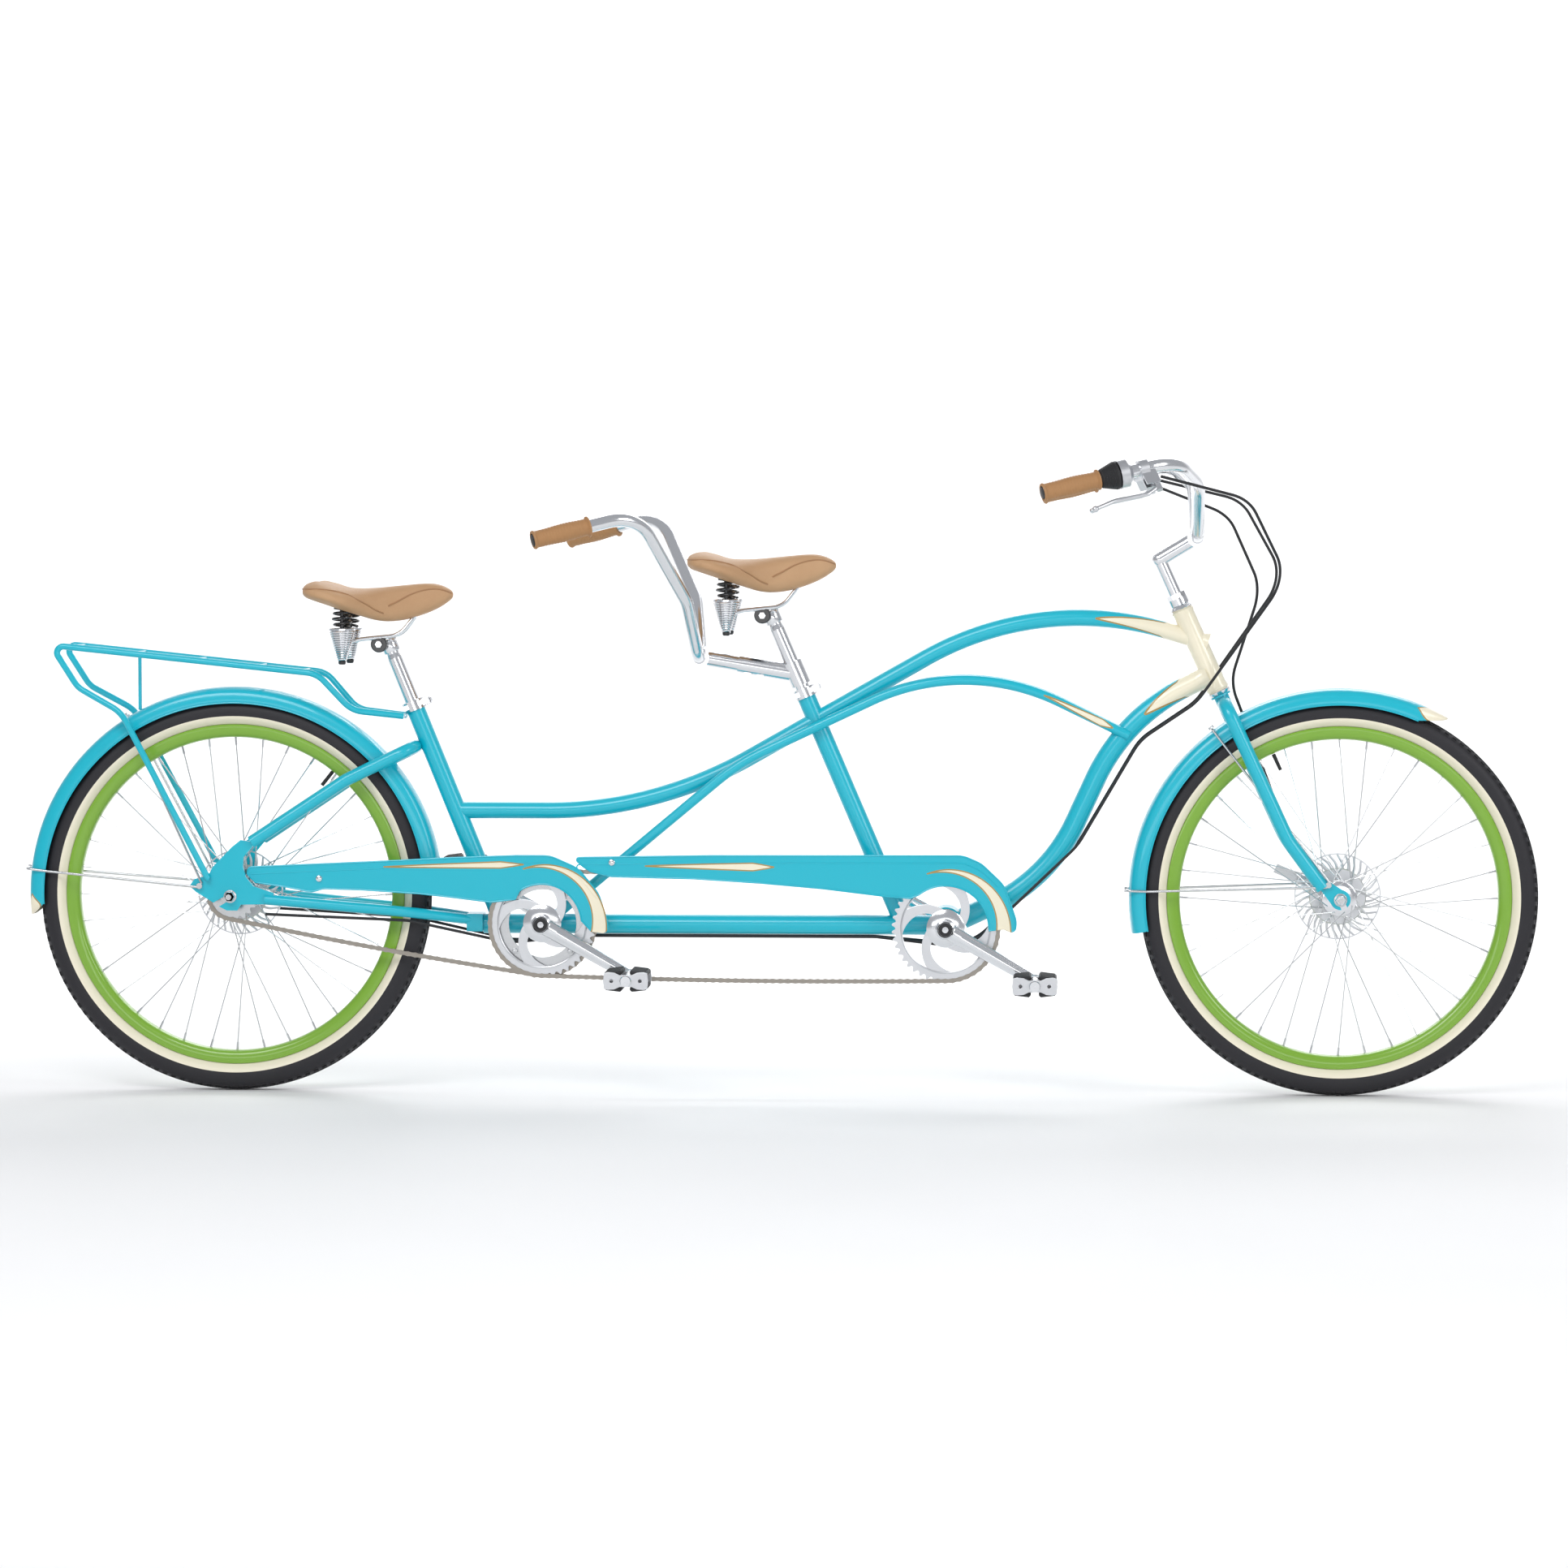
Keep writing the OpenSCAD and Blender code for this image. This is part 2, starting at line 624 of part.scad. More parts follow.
module brake_lever_right() { brake_lever(-1); }

module front_fender() {
  color(cyan) part() {
    translate([wheelbase, 0, ax_z]) fender_shell(59, 190);
    steer_at([-2, 0, -51.2]) cylinder(h = 12.2, r = 7);
  }
}

module front_fender_stays() {
  q = head_lo+rake*fwd-(head_s-30)*up;
  color(chrome) part() {
    stay_u(127, q[0]-6, q[2]+2, leg_y+7, wheelbase);
    stay_u(178, q[0]-10, q[2]-6, leg_y+7, wheelbase);
    for (s = [-1, 1]) rod_y(q[0]-8, q[2]-2, s*(leg_y+4)-5, s*(leg_y+4)+5, 5);
  }
}

module front_axle() {
  y = leg_y;
  color(chrome) part() {
    rod_y(wheelbase, ax_z, -y-9, y+9, 4.98);
    rod_y(wheelbase, ax_z, -y-22, -y-9, 4.5);
    rod_y(wheelbase, ax_z, y+9, y+22, 4.5);
    for (s = [-1, 1]) {
      rod_y(wheelbase, ax_z, s > 0 ? y+3 : -y-5, s > 0 ? y+5 : -y-3, 11);
      translate([wheelbase, s > 0 ? y+5 : -y-5, ax_z]) rotate([s > 0 ? -90 : 90, 0, 0])
        cylinder(h = 8, r = 8.6, $fn = 6);
    }
    pipe_y(wheelbase, ax_z, y-8, y-3, 26, 4.9);
    translate([wheelbase, y-6, ax_z]) rotate([0, -66, 0]) translate([-8, 0, 20]) cube([16, 2.6, 95]);
  }
}

module front_brake_cable() {
  a = [bar1_e[0]+180, bar_half-62, bar1_e[2]+19];
  q = head_lo+rake*fwd-(head_s-110)*up;
  color(black) part() bent([a, [head_lo[0]+22, 196, elbow[2]+76], [head_lo[0]+74, leg_y+28, head_lo[2]+173],
    [head_lo[0]+22, leg_y+16, head_lo[2]+13], [q[0]-72, leg_y+16, q[2]+94],
    [q[0]-22, leg_y+17, q[2]-44]], [90, 80, 80, 120], 2.5, 0);
}

// ---- wheels ----
module tyre(x) {
  h = tyre_w/2;
  color(black) part() translate([x, 0, ax_z]) rotate([90, 0, 0]) rotate_extrude($fn = 96)
    polygon([[wheel_r-46, -13], [wheel_r-36, -h+3], [wheel_r-24, -h], [wheel_r-10, -h+4],
      [wheel_r-2, -h+15], [wheel_r, 0], [wheel_r-2, h-15], [wheel_r-10, h-4], [wheel_r-24, h],
      [wheel_r-36, h-3], [wheel_r-46, 13], [wheel_r-44, 10], [wheel_r-34, h-6], [wheel_r-24, h-3],
      [wheel_r-12, h-7], [wheel_r-5, h-16], [wheel_r-4, 0], [wheel_r-5, 16-h], [wheel_r-12, 7-h],
      [wheel_r-24, 3-h], [wheel_r-34, 6-h], [wheel_r-44, -10]]);
}

module rim(x) {
  r = wheel_r-68;
  color(lime) part() translate([x, 0, ax_z]) rotate([90, 0, 0]) rotate_extrude($fn = 96)
    polygon([[r, -6], [r+4, -15], [r+19.5, -17], [r+21.5, -14], [r+8, -13], [r+4, -5], [r+4, 5],
      [r+8, 13], [r+21.5, 14], [r+19.5, 17], [r+4, 15], [r, 6]]);
}

module spokes(x, yl, yr, fr) {
  r = wheel_r-66.5;
  color(chrome) part() translate([x, 0, ax_z]) for (i = [0:17], s = [-1, 1]) {
    y = s > 0 ? yl : -yr;
    in = i%2;
    side = in*2-1;
    a = i*20+(s > 0 ? 0 : 10);
    b = a+side*62;
    p0 = [fr*cos(b), y+s*(in == 1 ? 2.6 : -2.6), fr*sin(b)];
    p1 = [r*cos(a), s*3, r*sin(a)];
    along(p0, p1-p0) cylinder(h = norm(p1-p0), r = 1, $fn = 8);
  }
}

module hub_body(x, yl, yr, fr, y0, y1) {
  difference() {
    union() {
      rod_y(x, ax_z, -yr, yl, 16);
      rod_y(x, ax_z, yl-1.7, yl+1.7, fr+5);
      rod_y(x, ax_z, -yr-1.7, -yr+1.7, fr+5);
      rod_y(x, ax_z, y0, y1, 13);
    }
    rod_y(x, ax_z, y0-1, y1+1, 5.04);
  }
}

module disc(x, y0, y1) {
  difference() {
    union() {
      rod_y(x, ax_z, y0, y1, 48);
      rod_y(x, ax_z, y0, y0+2, 73.5);
      rod_y(x, ax_z, y0+4, y0+6, 73.5);
      rod_y(x, ax_z, y0, y0+6, 60);
    }
    rod_y(x, ax_z, y0-1, y1+1, 5.04);
    for (i = [0:11]) translate([x, 0, ax_z]) rotate([0, i*30, 0]) rod_y(66, 0, y0-1, y1+1, 3.5);
  }
}

module front_tyre() { tyre(wheelbase); }

module front_rim() { rim(wheelbase); }

module front_spokes() { spokes(wheelbase, 24, 28, 24); }

module front_hub() {
  color(chrome) part() {
    hub_body(wheelbase, 24, 28, 24, -leg_y+6, leg_y-26);
    disc(wheelbase, leg_y-26, leg_y-16);
  }
}

module rear_tyre() { tyre(0); }

module rear_rim() { rim(0); }

module rear_spokes() { spokes(0, 29, 27, 26); }

module rear_hub() {
  color(chrome) part() {
    hub_body(0, 29, 27, 26, -34, 40);
    disc(0, 40, rear_old/2-9);
  }
}

// ---- drivetrain ----
module toothed(x, z, y, teeth, pr, hole, t) {
  turn = 90+180/teeth;
  translate([x, y+t/2, z]) rotate([90, 0, 0]) linear_extrude(t) difference() {
    union() {
      circle(pr-4.4, $fn = 90);
      for (i = [0:teeth-1]) rotate(turn+i*360/teeth) translate([pr-5, 0])
        polygon([[0, -4.2], [4.5, -2.6], [7, -0.9], [7, 0.9], [4.5, 2.6], [0, 4.2]]);
    }
    circle(hole);
  }
}

module rear_sprocket() {
  color(chrome) part() difference() {
    union() {
      toothed(0, ax_z, drive_y, sprocket_teeth, spr_r, 8, 2.2);
      rod_y(0, ax_z, -rear_old/2+6, -34.4, 19);
    }
    rod_y(0, ax_z, -rear_old/2+5, -30, 5.04);
  }
}

module crank_set(x, z, right_y) {
  a = crank_down;
  difference() {
    union() {
      rod_y(x, z, -arm_y, arm_y, 8.5);
      for (s = [-1, 1]) {
        d = s < 0 ? [cos(a), 0, -sin(a)] : [-cos(a), 0, sin(a)];
        p = [x, s*arm_y, z];
        q = p+crank_len*d;
        straight(p, q, 7.5, 0);
        rod_y(x, z, s > 0 ? arm_y-8 : -arm_y-9, s > 0 ? arm_y+9 : -arm_y+8, 16);
        rod_y(q[0], q[2], s*arm_y-8, s*arm_y+8, 12);
      }
      for (i = [0:3]) translate([x, -arm_y+8, z]) rotate([0, 45+i*90, 0])
        translate([0, 0, -9]) cube([ring_r-27, 5, 18]);
    }
    for (s = [-1, 1]) {
      d = s < 0 ? [cos(a), 0, -sin(a)] : [-cos(a), 0, sin(a)];
      rod_y(x+crank_len*d[0], z+crank_len*d[2], s*arm_y-9, s*arm_y+9, 4.55);
    }
  }
}

module stoker_cranks() {
  color(chrome) part() crank_set(stoker_bb_x, bb_z, 0);
}

module captain_cranks() {
  color(chrome) part() crank_set(cap_x, cap_z, 0);
}

module ring_bolts(x, z, y0, y1) {
  for (i = [0:3]) translate([x, 0, z]) rotate([0, 45+i*90, 0]) rod_y(ring_r-28, 0, y0, y1, 4);
}

module stoker_rings() {
  color(chrome) part() {
    toothed(stoker_bb_x, bb_z, timing_y, ring_teeth, ring_r, ring_r-32, 2.2);
    toothed(stoker_bb_x, bb_z, drive_y, ring_teeth, ring_r, ring_r-32, 2.2);
    ring_bolts(stoker_bb_x, bb_z, -arm_y+8, drive_y+2.5);
  }
}

module captain_ring() {
  color(chrome) part() {
    toothed(cap_x, cap_z, timing_y, ring_teeth, ring_r, ring_r-32, 2.2);
    ring_bolts(cap_x, cap_z, -arm_y+8, timing_y+2.5);
  }
}

module link_section(e) {
  polygon([[e-4, e-2.9], [4.4-e, e-2.9], [4.4-e, 2.9-e], [e-4, 2.9-e], [e-4, 1.7+e], [2.9+e, 1.7+e],
    [2.9+e, -1.7-e], [e-4, -1.7-e]]);
}

// A chain round two wheels at a and b with radii ra and rb, drawn as one channel-shaped band.
module chain_loop(xa, za, ra, xb, zb, rb, y) {
  c = norm([xb-xa, zb-za]);
  tilt = atan2(zb-za, xb-xa);
  g = asin((rb-ra)/c);
  run = sqrt(c*c-(rb-ra)*(rb-ra));
  translate([xa, y, za]) rotate([90, 0, 0]) rotate([0, 0, tilt]) {
    rotate([0, 0, 90+g]) rotate_extrude(angle = 180-2*g, $fn = 90) translate([ra, 0])
      link_section(0.03);
    translate([c, 0, 0]) rotate([0, 0, -90-g]) rotate_extrude(angle = 180+2*g, $fn = 90)
      translate([rb, 0]) link_section(0.03);
    rotate([0, 0, g]) translate([-0.3, ra, 0]) rotate([90, 0, 90]) linear_extrude(run+0.6)
      link_section(0);
    rotate([0, 0, -g]) translate([-0.3, -ra, 0]) rotate([90, 0, 90]) linear_extrude(run+0.6)
      rotate(180) link_section(0);
  }
}

module drive_chain() {
  color([0.35, 0.35, 0.37]) part()
    chain_loop(0, ax_z, spr_r, stoker_bb_x, bb_z, ring_r, drive_y);
}

module timing_chain() {
  color([0.35, 0.35, 0.37]) part()
    chain_loop(stoker_bb_x, bb_z, ring_r, cap_x, cap_z, ring_r, timing_y);
}

module pedal(x, z, s) {
  a = crank_down;
  d = s < 0 ? [cos(a), 0, -sin(a)] : [-cos(a), 0, sin(a)];
  px = x+crank_len*d[0];
  pz = z+crank_len*d[2];
  y0 = arm_y+11;
  y1 = y0+pedal_len+12;
  color(black) part() {
    if (s > 0) pedal_body(px, pz, y0, y1);
    else mirror([0, 1, 0]) pedal_body(px, pz, y0, y1);
  }
}

module pedal_body(px, pz, y0, y1) {
  rod_y(px, pz, y0-17, y0+2, 4.5);
  rod_y(px, pz, y0, y1, 9);
  translate([px-38, y0+3, pz-13]) cube([76, 3, 26]);
  translate([px-38, y1-5, pz-13]) cube([76, 3, 26]);
  for (t = [-1, 1]) translate([px+t*25-13, y0+6, pz-16.5]) cube([26, pedal_len, 33]);
}

module captain_pedal_left() { pedal(cap_x, cap_z, 1); }

module captain_pedal_right() { pedal(cap_x, cap_z, -1); }

module stoker_pedal_left() { pedal(stoker_bb_x, bb_z, 1); }

module stoker_pedal_right() { pedal(stoker_bb_x, bb_z, -1); }

// ---- seats ----
module post(hi, d, h, in) {
  color(chrome) part() {
    along(hi-in*d, d) {
      linear_extrude(in+h-38) ring2d(post_r, 2);
      translate([0, 0, in+h-39]) cylinder(h = 9, r1 = post_r-0.1, r2 = 11.2);
      translate([0, 0, in+h-31]) cylinder(h = 31, r = 11.1);
    }
  }
}

module captain_post() { post(seat1_hi, seat1_dir, captain_post_up, 150); }

module stoker_post() { post(seat2_hi, seat2_dir, stoker_post_up, 120); }

module saddle_frame(c, hi, d, h) {
  f = saddle_len/259;
  color(black) part() difference() {
    union() {
      rod_y(c[0], c[2], -30, 30, 14);
      along(hi+(h-27)*d, d) cylinder(h = 25, r = 15);
      bent([c+[-66*f, 50, -4], c+[-36*f, 36, 8], c+[34*f, 20, 15], c+[60*f, 9, 49],
        c+[60*f, -9, 49], c+[34*f, -20, 15], c+[-36*f, -36, 8], c+[-66*f, -50, -4]],
        [40, 40, 7, 7, 40, 40], 3.5, 0);
      for (s = [-1, 1]) {
        translate(c+[-60*f, s*50, -32]) {
          translate([0, 0, 58]) linear_extrude(36) ring2d(16.5, 4);
          cylinder(h = 55, r1 = 6, r2 = 21);
          translate([0, 0, 54.5]) cylinder(h = 4, r = 22);
        }
      }
    }
    along(hi-40*d, d) cylinder(h = h+39, r = 11.1);
  }
}

module saddle_top(c) {
  f = saddle_len/259;
  w = saddle_w/2;
  color(tan) part() hull() {
    for (s = [-1, 1]) {
      translate(c+[-110*f, s*(w-20), 94]) sphere(17, $fn = 24);
      translate(c+[-72*f, s*(w-20), 80]) sphere(19, $fn = 24);
      translate(c+[-10*f, s*38, 64]) sphere(21, $fn = 24);
      translate(c+[26*f, s*16, 61]) sphere(22, $fn = 24);
    }
    translate(c+[98*f, 0, 87]) sphere(17, $fn = 24);
    translate(c+[121*f, 0, 86]) sphere(9, $fn = 24);
  }
}

module captain_saddle_frame() { saddle_frame(saddle1, seat1_hi, seat1_dir, captain_post_up); }

module captain_saddle() { saddle_top(saddle1); }

module stoker_saddle_frame() { saddle_frame(saddle2, seat2_hi, seat2_dir, stoker_post_up); }

module stoker_saddle() { saddle_top(saddle2); }

module stoker_stem() {
  v = unit(clamp2-sclamp);
  color(chrome) part() {
    difference() {
      union() {
        along(sclamp-21*seat1_dir, seat1_dir) cylinder(h = 42, r = 17.5);
        straight(sclamp, sclamp+100*v, 15, 0);
      }
      along(sclamp-60*seat1_dir, seat1_dir) cylinder(h = 120, r = post_r+0.03);
    }
    straight(sclamp+90*v, clamp2-14*v, 13, 0);
    difference() {
      rod_y(clamp2[0], clamp2[2], -22, 22, 17);
      rod_y(clamp2[0], clamp2[2], -24, 24, bar_r);
    }
    for (t = [62, 84]) translate(sclamp+t*v+[0, 0, -21]) rotate([-90, 0, 0])
      translate([0, 0, -12]) cylinder(h = 24, r = 3.5);
    for (t = [62, 84]) translate(sclamp+t*v+[-6, -9, -24]) cube([12, 18, 12]);
  }
}

module stoker_bar() {
  color(chrome) part() bar_shape(clamp2, [clamp2[0]-14, -130, clamp2[2]+96], bar2_d, bar2_e);
}

module stoker_grips() {
  color(tan) part() for (s = [-1, 1]) grip(s, bar2_e, bar2_d);
}

head_tube();
top_tube();
down_tube();
side_tube_left();
side_tube_right();
boom_tube();
captain_seat_tube();
stoker_seat_tube();
seat_stays();
chain_stays();
bottom_bracket_parts();
seat_collars();
rear_fender();
rear_fender_stays();
rack();
rear_chainguard();
front_chainguard();
long_cables();
rear_axle();
fork();
front_stem();
front_bar();
front_grips();
lever_mounts();
front_fender();
front_fender_stays();
front_axle();
front_brake_cable();
brake_lever_left();
brake_lever_right();
twist_grip();
front_tyre();
front_rim();
front_spokes();
front_hub();
rear_tyre();
rear_rim();
rear_spokes();
rear_hub();
rear_sprocket();
stoker_cranks();
stoker_rings();
captain_cranks();
captain_ring();
drive_chain();
timing_chain();
captain_pedal_left();
captain_pedal_right();
stoker_pedal_left();
stoker_pedal_right();
captain_post();
captain_saddle_frame();
captain_saddle();
stoker_post();
stoker_saddle_frame();
stoker_saddle();
stoker_stem();
stoker_bar();
stoker_grips();
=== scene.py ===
import math
import bmesh
import bpy
from mathutils import Matrix, Vector
from mathutils.bvhtree import BVHTree
import numpy as np


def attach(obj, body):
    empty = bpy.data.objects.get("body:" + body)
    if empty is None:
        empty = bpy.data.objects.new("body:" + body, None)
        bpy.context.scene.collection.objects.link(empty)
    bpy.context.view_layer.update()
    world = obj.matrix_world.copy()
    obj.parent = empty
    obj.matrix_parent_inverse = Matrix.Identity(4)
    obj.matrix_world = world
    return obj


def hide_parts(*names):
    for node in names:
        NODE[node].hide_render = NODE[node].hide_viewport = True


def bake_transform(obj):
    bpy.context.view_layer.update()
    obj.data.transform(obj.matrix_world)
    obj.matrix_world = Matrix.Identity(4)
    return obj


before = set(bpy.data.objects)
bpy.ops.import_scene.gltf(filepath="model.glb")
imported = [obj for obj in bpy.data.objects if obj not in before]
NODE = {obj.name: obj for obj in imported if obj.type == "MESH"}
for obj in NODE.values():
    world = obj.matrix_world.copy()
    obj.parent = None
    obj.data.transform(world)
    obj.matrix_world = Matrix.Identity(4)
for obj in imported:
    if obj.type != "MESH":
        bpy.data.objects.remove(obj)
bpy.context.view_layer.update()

# ---------------------------------------------------------------- camera, floor and light
# The bicycle stands on a white studio sweep, seen square from the drive side through a long lens.
# One broad window-like panel high in front, a softer one behind and a pale sky fill the shadows.
MIDDLE = 0.93125


def at(x, y, z):
    """A point given from the rear axle forward, moved into the row frame."""
    return Vector((x - MIDDLE, y, z))


lens = bpy.data.cameras.new("camera")
lens.lens, lens.sensor_width = 118.2, 36
camera = bpy.data.objects.new("camera", lens)
bpy.context.scene.collection.objects.link(camera)
camera.location = at(1.40, -8.75, 0.963)
camera.rotation_mode = "QUATERNION"
camera.rotation_quaternion = (at(0.940, 0, 0.527) - camera.location).to_track_quat("-Z", "Y")
bpy.context.scene.camera = camera


def panel(name, place, target, size, watts):
    lamp = bpy.data.lights.new(name, "AREA")
    lamp.shape, lamp.size, lamp.size_y, lamp.energy = "RECTANGLE", size[0], size[1], watts
    ob = bpy.data.objects.new(name, lamp)
    bpy.context.scene.collection.objects.link(ob)
    ob.location = place
    ob.rotation_euler = (Vector(target) - Vector(place)).to_track_quat("-Z", "Y").to_euler()


panel("key panel", (-1.6, -3.6, 3.6), (0, 0, 0.5), (3.2, 1.6), 88)
panel("side panel", (3.4, -2.4, 2.2), (0.3, 0, 0.6), (1.4, 2.0), 38)
panel("back panel", (0.4, 3.2, 3.0), (0, 0, 0.5), (3.4, 1.2), 45)
panel("wall panel", (0, 1.6, 3.8), (0, 5.3, 1.5), (8, 1.5), 210)
panel("low strip", (0, -4.2, 0.7), (0, 0, 0.5), (4.0, 0.5), 15)

world = bpy.data.worlds.new("studio")
bpy.context.scene.world = world
world.use_nodes = True
world.node_tree.nodes["Background"].inputs[0].default_value = (0.93, 0.95, 1.0, 1)
world.node_tree.nodes["Background"].inputs[1].default_value = 0.46
bpy.context.scene.view_settings.view_transform = "Standard"
bpy.context.scene.view_settings.look = "None"
bpy.context.scene.view_settings.exposure = 0.0

floor_mesh = bpy.data.meshes.new("floor")
steps = [(-7, 0)] + [(3.5, 0)] + [(3.5 + 1.8 * math.sin(a * math.pi / 24), 1.8 - 1.8 * math.cos(a * math.pi / 24))
                                  for a in range(1, 13)] + [(5.3, 9)]
floor_mesh.from_pydata([(x, y, z - 0.0004) for y, z in steps for x in (-14, 14)], [],
                       [(2 * i, 2 * i + 1, 2 * i + 3, 2 * i + 2) for i in range(len(steps) - 1)])
floor_mesh.shade_smooth()
floor = bpy.data.objects.new("floor", floor_mesh)
bpy.context.scene.collection.objects.link(floor)

# ---------------------------------------------------------------- paints and metals
# Enamel over steel tube: a deep colour under a clear coat with a faint orange-peel ripple, polished
# and brushed alloy, and rubber. Each finish is one material that the pieces share.


def new_material(name):
    m = bpy.data.materials.new(name)
    m.use_nodes = True
    t = m.node_tree
    return m, t, t.nodes["Principled BSDF"]


def join(tree, a, b):
    tree.links.new(a, b)


def math_node(tree, op, a, b=0.0, c=0.0):
    n = tree.nodes.new("ShaderNodeMath")
    n.operation = op
    for socket, value in zip(n.inputs, (a, b, c)):
        if isinstance(value, (int, float)):
            socket.default_value = value
        else:
            tree.links.new(value, socket)
    return n.outputs[0]


def blend_colour(tree, factor, a, b):
    n = tree.nodes.new("ShaderNodeMix")
    n.data_type = "RGBA"
    for socket, value in ((n.inputs[0], factor), (n.inputs[6], a), (n.inputs[7], b)):
        if isinstance(value, (tuple, list)):
            socket.default_value = (*value, 1)
        elif isinstance(value, float):
            socket.default_value = value
        else:
            tree.links.new(value, socket)
    return n.outputs[2]


def new_group(name, ins, outs):
    g = bpy.data.node_groups.new(name, "ShaderNodeTree")
    for n, kind in ins:
        g.interface.new_socket(n, in_out="INPUT", socket_type=kind)
    for n, kind in outs:
        g.interface.new_socket(n, in_out="OUTPUT", socket_type=kind)
    return g, g.nodes.new("NodeGroupInput"), g.nodes.new("NodeGroupOutput")


# Wear: slow variation and fine grain shared by every finish. Gives a value near 1 and a normal.
wear, wi, wo = new_group("Surface grain", [("Scale", "NodeSocketFloat"), ("Depth", "NodeSocketFloat")],
                         [("Value", "NodeSocketFloat"), ("Normal", "NodeSocketVector")])
place = wear.nodes.new("ShaderNodeTexCoord")
grain = wear.nodes.new("ShaderNodeTexNoise")
grain.inputs["Detail"].default_value = 4
join(wear, place.outputs["Object"], grain.inputs["Vector"])
join(wear, wi.outputs["Scale"], grain.inputs["Scale"])
ripple = wear.nodes.new("ShaderNodeBump")
ripple.inputs["Distance"].default_value = 0.0005
join(wear, grain.outputs["Fac"], ripple.inputs["Height"])
join(wear, wi.outputs["Depth"], ripple.inputs["Strength"])
join(wear, math_node(wear, "MULTIPLY_ADD", grain.outputs["Fac"], 0.24, 0.88), wo.inputs["Value"])
join(wear, ripple.outputs["Normal"], wo.inputs["Normal"])


def add_grain(tree, shader, scale, depth, rough):
    g = tree.nodes.new("ShaderNodeGroup")
    g.node_tree = wear
    g.inputs["Scale"].default_value = scale
    g.inputs["Depth"].default_value = depth
    join(tree, g.outputs["Normal"], shader.inputs["Normal"])
    join(tree, math_node(tree, "MULTIPLY", g.outputs["Value"], rough), shader.inputs["Roughness"])


def plain(name, colour, rough, metal=0.0, coat=0.0, scale=40, depth=0.03):
    m, t, b = new_material(name)
    b.inputs["Base Color"].default_value = (*colour, 1)
    b.inputs["Metallic"].default_value = metal
    b.inputs["Coat Weight"].default_value = coat
    b.inputs["Coat Roughness"].default_value = 0.05
    add_grain(t, b, scale, depth, rough)
    return m


CYAN, CREAM, GOLD = (0.0, 0.49, 0.625), (0.93, 0.86, 0.66), (0.42, 0.27, 0.07)
cyan_paint = plain("cyan enamel", CYAN, 0.3, 0.0, 0.4, 25, 0.05)
polished = plain("polished alloy", (0.80, 0.81, 0.83), 0.16, 1.0)
satin = plain("satin alloy", (0.68, 0.69, 0.71), 0.34, 1.0, 0, 300, 0.06)
steel = plain("stainless steel", (0.62, 0.63, 0.64), 0.25, 1.0, 0, 200, 0.03)
chain_steel = plain("oiled chain steel", (0.36, 0.33, 0.29), 0.38, 1.0, 0, 400, 0.1)
black_rubber = plain("black rubber", (0.018, 0.018, 0.02), 0.62, 0, 0, 600, 0.2)
black_enamel = plain("black enamel", (0.012, 0.012, 0.014), 0.28, 0, 0.5)
black_plastic = plain("black plastic", (0.02, 0.02, 0.022), 0.45, 0, 0, 900, 0.15)
lime_paint = plain("lime enamel", (0.20, 0.42, 0.022), 0.32, 0.0, 0.7, 25, 0.04)
floor.data.materials.append(plain("studio floor", (0.90, 0.90, 0.90), 0.6, 0, 0, 3, 0.0))

# Flame: a pointed tongue with a thin gold edge. Run is the distance from its root, Side is 0 on its
# centre line; Open 1 lets the colour spread all round behind the root.
flame, fi, fo = new_group("Flame", [(n, "NodeSocketFloat") for n in
                                    ("Run", "Side", "Length", "Width", "Open", "Line")],
                          [("Cream", "NodeSocketFloat"), ("Gold", "NodeSocketFloat")])
f_a = math_node(flame, "DIVIDE", fi.outputs["Run"], fi.outputs["Length"])
f_body = math_node(flame, "POWER", math_node(flame, "MAXIMUM", math_node(flame, "SUBTRACT", 1.0, f_a), 0.0), 0.8)
f_root = math_node(flame, "MINIMUM", math_node(flame, "MAXIMUM", math_node(
    flame, "ADD", math_node(flame, "MULTIPLY", f_a, 6.0), math_node(flame, "MULTIPLY", fi.outputs["Open"],
                                                                    9.0)), 0.0), 1.0)
f_back = math_node(flame, "MULTIPLY", math_node(flame, "MAXIMUM", math_node(
    flame, "MULTIPLY", fi.outputs["Run"], -30.0), 0.0), fi.outputs["Open"])
f_width = math_node(flame, "ADD", math_node(flame, "MULTIPLY", math_node(
    flame, "MULTIPLY", f_body, f_root), fi.outputs["Width"]), f_back)
f_in = math_node(flame, "SUBTRACT", f_width, math_node(flame, "ABSOLUTE", fi.outputs["Side"]))
join(flame, math_node(flame, "GREATER_THAN", f_in, 0.0), fo.inputs["Cream"])
join(flame, math_node(flame, "MULTIPLY", math_node(flame, "LESS_THAN", math_node(flame, "ABSOLUTE", f_in),
                                                   fi.outputs["Line"]),
                      math_node(flame, "GREATER_THAN", f_width, 0.002)), fo.inputs["Gold"])


def add_flame(tree, run, side, length, width, opened, line):
    g = tree.nodes.new("ShaderNodeGroup")
    g.node_tree = flame
    for name, value in (("Run", run), ("Side", side), ("Length", length), ("Width", width),
                        ("Open", opened), ("Line", line)):
        if isinstance(value, (int, float)):
            g.inputs[name].default_value = value
        else:
            join(tree, value, g.inputs[name])
    return g.outputs["Cream"], g.outputs["Gold"]


